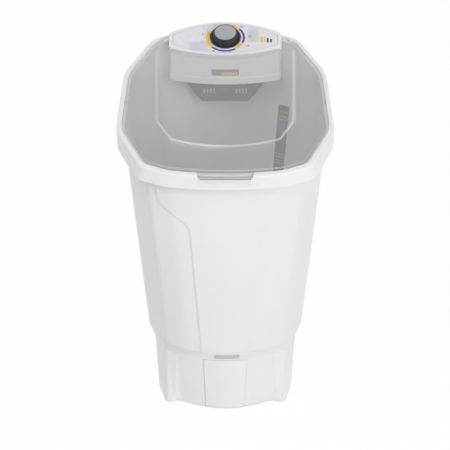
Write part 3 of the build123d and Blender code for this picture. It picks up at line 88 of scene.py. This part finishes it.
# Print on the control panel, in millimetres
print_lift = 0.12
print_thickness = 0.1
ring_outer = 53.0
indigo_ring_inner = 47.5
yellow_ring_inner = 43.5
tick_gap = 1.2
tick_length = 2.2
number_size = 9.0
border_inset = 2.0
border_width = 0.9
border_thickness = 0.05

# Coloured arcs of the dial and its ticks, in degrees clockwise from the top
YELLOW_ARCS = ((229, 297), (117, 144), (20, 45))
INDIGO_ARCS = ((148, 226), (48, 114))
TICK_ANGLES = range(15, 346, 15)
tick_half_width = 0.45
arc_steps_per_turn = 144

# Where the dial's numbers stand, across and up the panel
DIAL_NUMBERS = {
    "36": (44.0, 42.0),
    "30": (66.0, 5.0),
    "24": (60.0, -31.0),
    "18": (-33.0, -50.5),
    "12": (-62.0, -15.0),
    "6": (-61.0, 12.0),
}

# Four bars right of the dial, whose heights fall to the right
first_bar = 95.0
bar_pitch = 8.5
bar_width = 5.0
bar_foot = -18.0
tallest_bar = 22.0
bar_fall = 3.0


def panel_matrix(lift=print_lift):
    """Takes x to the right, y up the control panel and z out of it, from the knob's axis."""
    matrix = Matrix((panel_right, panel_up, panel_normal)).transposed().to_4x4()
    matrix.translation = knob_point + panel_normal * lift * MM
    return matrix


# Colours


def linear(red, green, blue):
    """A colour given as 0 to 255, in linear light, by the sRGB curve."""
    return tuple(
        value / 12.92 if value <= 0.04045 else ((value + 0.055) / 1.055) ** 2.4
        for value in (red / 255, green / 255, blue / 255)
    )


def shade(color, factor):
    return tuple(min(1.0, channel * factor) for channel in color)


SHELL_WHITE = linear(235, 234, 235)
CONSOLE_WHITE = linear(250, 249, 250)
PANEL_WHITE = linear(231, 230, 236)
HATCHING = linear(158, 156, 184)
LID_SMOKE = linear(219, 217, 219)
# Painted highlight: the paler colour of the lid's walls, slopes and plateau crest
LID_HIGHLIGHT = linear(240, 240, 243)
# Painted shadow: the dark line along the lid's lip
LID_SHADOW_LINE = linear(128, 127, 131)
STRIP_GREY = linear(42, 50, 52)
STRIP_BLUE = linear(80, 102, 140)
STRIP_GREEN = linear(44, 84, 46)
GREEN_MARK = linear(150, 200, 110)
PALE_MARK = linear(170, 176, 180)
LABEL_GREY = linear(150, 150, 152)
LABEL_YELLOW = linear(236, 216, 84)
YELLOW = linear(240, 200, 70)
INDIGO = linear(72, 58, 140)
INK = linear(52, 52, 62)
BORDER_GREY = linear(150, 148, 158)


# Node helpers for materials


class NodeTree:
    """A node tree under construction, with short calls for the nodes that it needs."""

    def __init__(self, tree):
        self.tree = tree

    def node(self, kind, **settings):
        made = self.tree.nodes.new(kind)
        for name, value in settings.items():
            setattr(made, name, value)
        return made

    def link(self, source, target):
        self.tree.links.new(source, target)

    def math(self, operation, first, second=None):
        """What an operation makes of one or two values, each a number or an output."""
        made = self.node("ShaderNodeMath", operation=operation)
        for socket, value in zip(made.inputs, (first, second)):
            if value is None:
                continue
            if isinstance(value, (int, float)):
                socket.default_value = value
            else:
                self.link(value, socket)
        return made.outputs["Value"]

    def product(self, total, *others):
        for other in others:
            total = self.math("MULTIPLY", total, other)
        return total

    def largest(self, total, *others):
        for other in others:
            total = self.math("MAXIMUM", total, other)
        return total

    def ranged(self, value, low, high, from_low=0.3, from_high=0.7):
        """Runs from low to high while the value runs between the other two, and stops there."""
        made = self.node("ShaderNodeMapRange")
        made.inputs["From Min"].default_value = from_low
        made.inputs["From Max"].default_value = from_high
        made.inputs["To Min"].default_value = low
        made.inputs["To Max"].default_value = high
        self.link(value, made.inputs["Value"])
        return made.outputs["Result"]


class Look(NodeTree):
    """A material under construction, on its own shader."""

    def __init__(self, name):
        self.material = bpy.data.materials.new(name)
        self.material.use_nodes = True
        super().__init__(self.material.node_tree)
        self.shader = self.tree.nodes["Principled BSDF"]
        self.coords = self.node("ShaderNodeTexCoord").outputs["Object"]

    def set(self, **sockets):
        """Sets the shader's own sockets, such as Emission_Color for Emission Color."""
        for name, value in sockets.items():
            self.shader.inputs[name.replace("_", " ")].default_value = value

    def noise(self, scale, detail=2.0, stretch=(1, 1, 1)):
        mapping = self.node("ShaderNodeMapping")
        mapping.inputs["Scale"].default_value = stretch
        self.link(self.coords, mapping.inputs["Vector"])
        made = self.node("ShaderNodeTexNoise")
        made.inputs["Scale"].default_value = scale
        made.inputs["Detail"].default_value = detail
        self.link(mapping.outputs["Vector"], made.inputs["Vector"])
        return made.outputs["Fac"]

    def axis(self, letter):
        """One of the object's own coordinates."""
        split = self.node("ShaderNodeSeparateXYZ")
        self.link(self.coords, split.inputs["Vector"])
        return split.outputs[letter]

    def dot(self, vector, direction):
        made = self.node("ShaderNodeVectorMath", operation="DOT_PRODUCT")
        self.link(vector, made.inputs[0])
        made.inputs[1].default_value = direction
        return made.outputs["Value"]

    def along(self, direction):
        """How far a point lies from the knob's middle along a direction."""
        shift = self.node("ShaderNodeVectorMath", operation="SUBTRACT")
        self.link(self.coords, shift.inputs[0])
        shift.inputs[1].default_value = knob_point
        return self.dot(shift.outputs["Vector"], direction)

    def band(self, value, low, high, soft=0.4 * MM):
        """1 where value is between low and high, with soft edges, and 0 elsewhere."""
        rise = self.ranged(value, 0.0, 1.0, low - soft, low + soft)
        fall = self.ranged(value, 1.0, 0.0, high - soft, high + soft)
        return self.product(rise, fall)

    def mixed(self, share, first, second):
        """A colour from first to second, each a colour or an output, by an output's share."""
        made = self.node("ShaderNodeMix", data_type="RGBA")
        self.link(share, made.inputs["Factor"])
        for name, value in (("A", first), ("B", second)):
            socket = next(s for s in made.inputs if s.name == name and s.type == "RGBA")
            if isinstance(value, tuple):
                socket.default_value = (*value, 1.0)
            else:
                self.link(value, socket)
        return next(s for s in made.outputs if s.type == "RGBA")

    def clouded(self, color, darkest, palest, scale, detail=3.0):
        """A colour with soft clouds, between two factors of it."""
        clouds = self.ranged(self.noise(scale, detail), 0.0, 1.0)
        return self.mixed(clouds, shade(color, darkest), shade(color, palest))

    def color(self, value):
        self.link(value, self.shader.inputs["Base Color"])

    def roughness(self, value):
        self.link(value, self.shader.inputs["Roughness"])

    def gloss(self, smoothest, roughest, scale, detail=2.0):
        """Lets the roughness vary over the surface, between two values."""
        self.roughness(self.ranged(self.noise(scale, detail), smoothest, roughest))

    def bump(self, heights, distance, softened=0.0):
        """Bumps the surface by a height output, over edges softened by a radius."""
        made = self.node("ShaderNodeBump")
        made.inputs["Distance"].default_value = distance
        made.inputs["Strength"].default_value = 1.0
        self.link(heights, made.inputs["Height"])
        if softened:
            bevel = self.node("ShaderNodeBevel", samples=6)
            bevel.inputs["Radius"].default_value = softened
            self.link(bevel.outputs["Normal"], made.inputs["Normal"])
        self.link(made.outputs["Normal"], self.shader.inputs["Normal"])

    def peel(self, distance, scale, softened=0.0):
        """Gives the surface the faint unevenness of a moulded skin."""
        self.bump(self.noise(scale, detail=1.0), distance, softened)


# Materials


def moulded(name, color, rough, variation=0.02, grain=4e-6, grain_scale=900.0, mottling=7.0, softened=0.0):
    """Moulded plastic: faint clouds in its colour, an uneven gloss and a fine peel."""
    look = Look(name)
    look.color(look.clouded(color, 1 - variation, 1 + variation, scale=mottling, detail=4.0))
    look.gloss(rough * 0.92, rough * 1.08, scale=18.0)
    look.peel(grain, grain_scale, softened)
    return look


def metal(name, color, rough, brushed=(1, 1, 1), scale=180.0, grain=2e-5):
    """Bare metal: faint streaks in its colour, gloss and surface, finer along an axis where it is brushed."""
    look = Look(name)
    streaks = look.noise(scale, detail=3.0, stretch=brushed)
    look.color(look.mixed(look.ranged(streaks, 0.0, 1.0), shade(color, 0.86), shade(color, 1.08)))
    look.roughness(look.ranged(streaks, rough * 0.75, rough * 1.3))
    look.bump(streaks, grain)
    look.set(Metallic=1.0)
    return look


def rubber(name, color):
    """Dull rubber, more mottled than plastic."""
    look = moulded(name, color, 0.75, variation=0.12, grain=2e-5, grain_scale=1400.0, mottling=40.0)
    look.set(Specular_IOR_Level=0.3)
    return look


def ink(name, color):
    """Printed ink, slightly uneven."""
    look = Look(name)
    look.color(look.clouded(color, 0.92, 1.05, scale=400.0, detail=2.0))
    look.gloss(0.3, 0.4, scale=90.0)
    return look


def lid_material():
    """Clear smoke-grey plastic, more opaque and painted paler at its walls and slopes (partly its thickness seen
    edge-on, partly painted highlight), with a painted highlight along the plateau's crest and a painted shadow
    line along its lip's top edge.
    """
    clear_alpha = 0.22
    highlight_alpha = 0.56
    shadow_line_alpha = 0.85
    # Share of the painted highlight kept on the slopes that face sideways
    side_highlight_share = 0.22
    # How squarely a face looks along a direction, from 0 to 1, where it starts and ends to count
    wall_facing = (0.30, 0.60)
    slope_facing = (0.82, 0.92)
    side_facing = (0.55, 0.60)
    # Depths under the plateau's top, where the painted crest highlight lies, and under the lip's top, where the
    # painted shadow line lies
    crest_highlight_depths = (3.6 * MM, 2.2 * MM)
    shadow_line_depths = (3.2 * MM, 0.6 * MM)
    lip_reach = 2.8 * MM
    plateau_back = 0.1

    look = Look("smoke_lid")
    look.set(IOR=1.49, Specular_IOR_Level=0.5)
    look.gloss(0.10, 0.20, scale=30.0, detail=3.0)
    look.peel(0.3 * MM, scale=14.0)

    upward = Vector((0.0, -math.sin(lid_slope), math.cos(lid_slope)))
    normal = look.node("ShaderNodeTexCoord").outputs["Normal"]
    facing_up = look.math("ABSOLUTE", look.dot(normal, upward))
    facing_side = look.math("ABSOLUTE", look.dot(normal, panel_right))
    # Faces seen edge-on: more opaque where the plastic's thickness is seen, and painted paler as a highlight
    walls = look.ranged(facing_up, 1.0, 0.0, *wall_facing)
    slope = look.ranged(facing_up, 1.0, 0.0, *slope_facing)
    sideways = look.ranged(facing_side, 0.0, 1.0, *side_facing)

    points = [vertex.co for vertex in nodes["lid"].data.vertices]
    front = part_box("lid")[0].y
    plateau_top = max(point.dot(upward) for point in points if point.y < plateau_back)
    lip_top = max(point.dot(upward) for point in points if point.y < front + lip_reach)
    height = look.dot(look.coords, upward)
    # Painted highlight: a thin pale band near the top of the plateau's slopes, weaker on the side slopes
    near_top = look.ranged(height, 0.0, 1.0, *(plateau_top - depth for depth in crest_highlight_depths))
    crest_highlight = look.product(slope, near_top, look.math("SUBTRACT", 1.0, sideways))
    side_highlight = look.product(slope, sideways, side_highlight_share)
    edge = look.largest(walls, crest_highlight, side_highlight)
    # Painted shadow: a dark line on the lip's front face, just under its top edge
    line = look.product(
        look.band(look.axis("Y"), front - MM, front + lip_reach),
        look.band(height, *(lip_top - depth for depth in shadow_line_depths)),
    )

    # The paler colour is painted highlight, partly also the plastic's thickness seen edge-on; the dark line is
    # painted shadow
    look.color(look.mixed(line, look.mixed(edge, LID_SMOKE, LID_HIGHLIGHT), LID_SHADOW_LINE))
    alpha = look.ranged(edge, clear_alpha, highlight_alpha, 0.0, 1.0)
    look.link(look.largest(alpha, look.product(line, shadow_line_alpha)), look.shader.inputs["Alpha"])
    return look


def strip_material():
    """The level strip: a dark translucent scale with a blue and a green field at the top and thin marks."""
    blue_field = (0.618, 0.660)
    blue_fade = 6.0 * MM
    green_field = (0.662, 0.691)
    green_marks = (0.529, 0.537, 0.664, 0.673, 0.688)
    pale_marks = (0.548, 0.557)
    mark_width = 2.0 * MM

    look = Look("level_strip")
    height = look.axis("Z")
    color = look.clouded(STRIP_GREY, 0.92, 1.06, scale=60.0)
    color = look.mixed(look.band(height, *blue_field, blue_fade), color, STRIP_BLUE)
    color = look.mixed(look.band(height, *green_field), color, STRIP_GREEN)
    for marks, tint in ((green_marks, GREEN_MARK), (pale_marks, PALE_MARK)):
        for mark in marks:
            color = look.mixed(look.band(height, mark, mark + mark_width), color, tint)
    look.color(color)
    look.gloss(0.40, 0.50, scale=80.0)
    look.set(Alpha=0.94, Specular_IOR_Level=0.3)
    return look


def label_material():
    """The console's label: a grey strip with a yellow field at its lower right."""
    margin = 3.0 * MM
    field_start = 26.0 * MM

    look = Look("console_label")
    low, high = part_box("console_label")
    field = look.product(
        look.band(look.axis("X"), low.x + field_start, high.x - margin),
        look.band(look.axis("Z"), low.z + margin, (low.z + high.z) / 2),
    )
    look.color(look.mixed(field, look.clouded(LABEL_GREY, 0.94, 1.06, scale=120.0), LABEL_YELLOW))
    look.gloss(0.30, 0.42, scale=200.0)
    return look


def panel_material():
    """The printed sheet under the dial: pale violet-grey with fine slanting hatching on both sides."""
    # Each hatched patch, across and up the panel from the knob's axis, and how far its edges fade
    patches = (
        ((-0.096, -0.046), (-0.048, -0.016)),
        ((0.060, 0.090), (-0.016, 0.034)),
    )
    fade_across = 4.0 * MM
    fade_along = 3.0 * MM
    hatch_period = 8.6 * MM
    hatch_slant = 0.8
    hatch_share = 0.75
    # Where a stripe starts and where it is full, as values of the sine that draws it
    stripe_edge = (0.1, 0.5)

    look = Look("panel_sheet")
    across = look.along(panel_right)
    along = look.along(panel_up)
    slanted = look.math("ADD", across, look.product(along, hatch_slant))
    stripes = look.math("SINE", look.product(slanted, 2 * math.pi / hatch_period))
    lines = look.ranged(stripes, 0.0, 1.0, *stripe_edge)
    hatched = look.largest(*(
        look.product(look.band(across, *width, fade_across), look.band(along, *height, fade_along))
        for width, height in patches
    ))
    share = look.product(hatched, lines, hatch_share)
    look.color(look.mixed(share, look.clouded(PANEL_WHITE, 0.985, 1.0, scale=90.0), HATCHING))
    look.gloss(0.22, 0.32, scale=70.0)
    look.peel(3e-6, scale=1200.0)
    return look


def knob_material():
    """The knob: a near-black flange under a satin charcoal cone."""
    cone_start = (3.6 * MM, 6.0 * MM)

    look = Look("knob_dark")
    clouds = look.ranged(look.noise(60.0, detail=3.0), 0.0, 1.0)
    flange = look.mixed(clouds, linear(30, 31, 38), linear(38, 40, 48))
    cone = look.mixed(clouds, linear(40, 44, 51), linear(50, 54, 62))
    look.color(look.mixed(look.ranged(look.along(panel_normal), 0.0, 1.0, *cone_start), flange, cone))
    look.gloss(0.30, 0.38, scale=90.0)
    look.peel(6e-6, scale=1500.0)
    return look


def net_material():
    """The filter's net: a fine white weave with a faint painted glow, which stands in for the light that comes
    through it.
    """
    thread_spacing = 1.2 * MM
    # Where a thread starts and where it is full, as values of the sine that draws it
    thread_edge = (-0.4, 0.6)

    look = Look("net_white")
    threads = look.largest(*(
        look.math("SINE", look.product(look.axis(letter), 2 * math.pi / thread_spacing))
        for letter in "XZ"
    ))
    weave = look.ranged(threads, 0.0, 1.0, *thread_edge)
    look.color(look.mixed(weave, linear(205, 206, 208), linear(242, 242, 243)))
    look.gloss(0.50, 0.65, scale=300.0)
    look.bump(weave, 0.1 * MM)
    # Painted light: a faint glow that brightens the net inside the shaded cassette
    look.set(Emission_Color=(1.0, 1.0, 1.0, 1.0), Emission_Strength=0.22)
    return look


SLOT_LOOKS = {
    "white_shell": moulded("white_shell", SHELL_WHITE, 0.36, variation=0.012),
    "lid_smoke": lid_material(),
    "panel_print": panel_material(),
    "label_grey": label_material(),
    "knob_dark": knob_material(),
    "knob_grey": moulded("knob_grey", linear(172, 171, 179), 0.34, variation=0.03, mottling=50.0),
    "filter_grey": moulded("filter_grey", linear(70, 69, 73), 0.50, variation=0.05, mottling=40.0),
    "net_white": net_material(),
    "strip_smoke": strip_material(),
    "agitator_white": moulded("agitator_white", linear(228, 231, 236), 0.28, variation=0.015),
    "strainer_grey": moulded("strainer_grey", linear(190, 191, 194), 0.4, variation=0.03),
    "cover_grey": moulded("cover_grey", linear(176, 177, 180), 0.5, variation=0.04),
    "spigot_grey": moulded("spigot_grey", linear(150, 151, 155), 0.42, variation=0.05),
    "rubber_black": rubber("rubber_black", linear(46, 46, 48)),
    "bumper_grey": rubber("bumper_grey", linear(185, 185, 186)),
    "steel": metal("steel", linear(190, 192, 196), 0.32, brushed=(1, 1, 8)),
    "bush_bronze": metal("bush_bronze", linear(196, 160, 96), 0.4),
    "cast_alloy": metal("cast_alloy", linear(188, 190, 193), 0.48, scale=420.0, grain=6e-5),
    "stator_paint": moulded("stator_paint", linear(72, 76, 84), 0.45, variation=0.08, mottling=30.0),
    "fan_black": moulded("fan_black", linear(44, 45, 48), 0.45, variation=0.08, mottling=40.0),
    "capacitor_white": moulded("capacitor_white", linear(214, 213, 206), 0.45, variation=0.03),
    "timer_cream": moulded("timer_cream", linear(206, 200, 180), 0.5, variation=0.03),
    "cable_grey": moulded("cable_grey", linear(70, 71, 74), 0.5, variation=0.06, mottling=60.0),
}

# Pieces that look a little different from the rest of their slot
NODE_LOOKS = {
    "base_skirt": moulded("base_white", SHELL_WHITE, 0.36, variation=0.012, softened=5.0 * MM),
    "console_housing": moulded("console_white", CONSOLE_WHITE, 0.36, variation=0.012, softened=2.0 * MM),
    "front_badge": moulded("badge_plate", linear(188, 196, 193), 0.3, variation=0.03, mottling=80.0),
}

for row in frame["record"]["subparts"]:
    look = NODE_LOOKS.get(row["node"], SLOT_LOOKS[row["material_slot"]])
    materials = nodes[row["node"]].data.materials
    materials.clear()
    materials.append(look.material)


# Print on the control panel


def print_mesh(name, mesh, look):
    """Lays a mesh, made flat round the knob's axis, on the panel and lets it ride on the cabinet."""
    mesh.transform(panel_matrix())
    mesh.materials.clear()
    mesh.materials.append(look.material)
    piece = bpy.data.objects.new(name, mesh)
    bpy.context.scene.collection.objects.link(piece)
    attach(piece, "cabinet")


def print_piece(name, build, look):
    """Prints what build adds to an empty bmesh."""
    mesh = bpy.data.meshes.new(name)
    geometry = bmesh.new()
    build(geometry)
    geometry.to_mesh(mesh)
    geometry.free()
    print_mesh(name, mesh, look)


def sector(geometry, inner, outer, start, end):
    """Adds a flat arc between two radii, from start to end in degrees, counted clockwise from the top."""
    steps = max(2, round(abs(end - start) / 360 * arc_steps_per_turn))
    rings = []
    for index in range(steps + 1):
        angle = math.radians(start + (end - start) * index / steps)
        across, along = math.sin(angle), math.cos(angle)
        corners = ((inner, 0), (outer, 0), (outer, print_thickness), (inner, print_thickness))
        rings.append([geometry.verts.new((r * across * MM, r * along * MM, z * MM)) for r, z in corners])
    for before, after in zip(rings, rings[1:]):
        for index in range(4):
            following = (index + 1) % 4
            geometry.faces.new((before[index], before[following], after[following], after[index]))
    geometry.faces.new(rings[0])
    geometry.faces.new(list(reversed(rings[-1])))


def arcs(spans, inner):
    """The dial's arcs of one colour, between an inner radius and the ring's outer one."""
    def build(geometry):
        for start, end in spans:
            sector(geometry, inner, ring_outer, start, end)
        bmesh.ops.recalc_face_normals(geometry, faces=geometry.faces)
    return build


def ticks(geometry):
    """The dial's short ticks, outside its ring."""
    inner = ring_outer + tick_gap
    for angle in TICK_ANGLES:
        sector(geometry, inner, inner + tick_length, angle - tick_half_width, angle + tick_half_width)
    bmesh.ops.recalc_face_normals(geometry, faces=geometry.faces)


def number(text, across, along):
    """A plain upright number, centred across and up the panel from the knob's axis."""
    name = f"dial_number_{text}"
    curve = bpy.data.curves.new(name, "FONT")
    curve.body = text
    curve.align_x = "CENTER"
    curve.align_y = "CENTER"
    curve.size = number_size * MM
    curve.extrude = print_thickness / 2 * MM
    text_object = bpy.data.objects.new(f"{name}_text", curve)
    bpy.context.scene.collection.objects.link(text_object)
    bpy.context.view_layer.update()
    evaluated = text_object.evaluated_get(bpy.context.evaluated_depsgraph_get())
    mesh = bpy.data.meshes.new_from_object(evaluated)
    bpy.data.objects.remove(text_object)
    mesh.transform(Matrix.Translation((across * MM, along * MM, 0)))
    print_mesh(name, mesh, dark_ink)


def bars(indices):
    """Some of the four bars, counted from the left."""
    def build(geometry):
        for index in indices:
            size = Vector((bar_width, tallest_bar - bar_fall * index, print_thickness)) * MM
            corner = Vector((first_bar + bar_pitch * index, bar_foot, 0)) * MM
            place = Matrix.Translation(corner + size / 2) @ Matrix.Diagonal((*size, 1))
            bmesh.ops.create_cube(geometry, size=1.0, matrix=place)
    return build


def border_line(geometry):
    """A thin line printed just inside the sheet's edge, from the sheet's own outline."""
    facing = 0.99
    knob_hole_reach = 0.02
    aim_reach = 0.03
    weld_distance = 0.02 * MM
    sheet = nodes["panel_overlay"].data
    to_panel = panel_matrix(0.0).inverted()

    def inset(corner, distance):
        """The point a distance inside the outline, towards a point on the sheet's upright middle line."""
        aim = Vector((0, max(-aim_reach, min(aim_reach, corner.y / 2))))
        return (*(corner.xy + (aim - corner.xy).normalized() * distance * MM), 0.0)

    front_edges = Counter(
        edge
        for polygon in sheet.polygons if polygon.normal.dot(panel_normal) > facing
        for edge in polygon.edge_keys
    )
    for edge, uses in front_edges.items():
        ends = [to_panel @ sheet.vertices[index].co for index in edge]
        if uses > 1 or min(end.xy.length for end in ends) < knob_hole_reach:
            continue
        outer_side = [inset(end, border_inset) for end in ends]
        inner_side = [inset(end, border_inset + border_width) for end in reversed(ends)]
        geometry.faces.new([geometry.verts.new(point) for point in outer_side + inner_side])
    bmesh.ops.remove_doubles(geometry, verts=geometry.verts, dist=weld_distance)
    bmesh.ops.recalc_face_normals(geometry, faces=geometry.faces)
    bmesh.ops.solidify(geometry, geom=geometry.faces, thickness=border_thickness * MM)


yellow_ink = ink("yellow_ink", YELLOW)
indigo_ink = ink("indigo_ink", INDIGO)
dark_ink = ink("dark_ink", INK)
line_ink = ink("line_ink", BORDER_GREY)

print_piece("dial_arcs_yellow", arcs(YELLOW_ARCS, yellow_ring_inner), yellow_ink)
print_piece("dial_arcs_indigo", arcs(INDIGO_ARCS, indigo_ring_inner), indigo_ink)
print_piece("dial_ticks", ticks, dark_ink)
for text, (across, along) in DIAL_NUMBERS.items():
    number(text, across, along)
print_piece("capacity_bars_yellow", bars((0, 1)), yellow_ink)
print_piece("capacity_bars_indigo", bars((2, 3)), indigo_ink)
print_piece("sheet_border", border_line, line_ink)


# Floor, background, light and camera


def camera_share(build):
    """1 for rays that show the background: from the camera, or by way of gloss or glass."""
    path = build.node("ShaderNodeLightPath")
    return build.largest(*(path.outputs[f"Is {kind} Ray"] for kind in ("Camera", "Glossy", "Transmission")))


def make_floor():
    """A matte floor for the light that falls on it, which glows nearly white for the camera."""
    bpy.ops.mesh.primitive_plane_add(size=floor_side, location=(0, 0, 0))
    floor = bpy.context.active_object
    floor.name = "floor"
    material = bpy.data.materials.new("floor")
    material.use_nodes = True
    material.node_tree.nodes.clear()
    build = NodeTree(material.node_tree)
    output = build.node("ShaderNodeOutputMaterial")
    matte = build.node("ShaderNodeBsdfDiffuse")
    matte.inputs["Color"].default_value = (floor_grey, floor_grey, floor_grey, 1)
    glow = build.node("ShaderNodeEmission")
    glow.inputs["Color"].default_value = (1, 1, 1, 1)
    glow.inputs["Strength"].default_value = 1.0
    mix = build.node("ShaderNodeMixShader")
    build.link(build.product(camera_share(build), floor_glow_share), mix.inputs["Fac"])
    build.link(matte.outputs["BSDF"], mix.inputs[1])
    build.link(glow.outputs["Emission"], mix.inputs[2])
    build.link(mix.outputs["Shader"], output.inputs["Surface"])
    floor.data.materials.append(material)


def make_world():
    """A white background that lights the object less than it shows to the camera."""
    world = bpy.data.worlds.new("studio")
    bpy.context.scene.world = world
    world.use_nodes = True
    build = NodeTree(world.node_tree)
    background = world.node_tree.nodes["Background"]
    background.inputs["Color"].default_value = (1, 1, 1, 1)
    strength = build.ranged(camera_share(build), background_light, background_shown, 0.0, 1.0)
    build.link(strength, background.inputs["Strength"])


def softbox(name, place, target, size, watts):
    lamp = bpy.data.lights.new(name, "AREA")
    lamp.shape = "DISK"
    lamp.size = size
    lamp.energy = watts
    holder = bpy.data.objects.new(name, lamp)
    holder.location = place
    holder.rotation_euler = (Vector(target) - Vector(place)).to_track_quat("-Z", "Y").to_euler()
    bpy.context.scene.collection.objects.link(holder)


def make_camera():
    lens = bpy.data.cameras.new("camera")
    lens.lens = camera_lens
    lens.sensor_width = camera_sensor
    lens.clip_end = camera_reach
    holder = bpy.data.objects.new("camera", lens)
    holder.location = camera_place
    holder.rotation_euler = (math.radians(camera_pitch), 0, 0)
    bpy.context.scene.collection.objects.link(holder)
    bpy.context.scene.camera = holder


make_floor()
make_world()
for name, lamp in LAMPS.items():
    softbox(name, *lamp)
make_camera()

bpy.context.scene.view_settings.view_transform = "Standard"
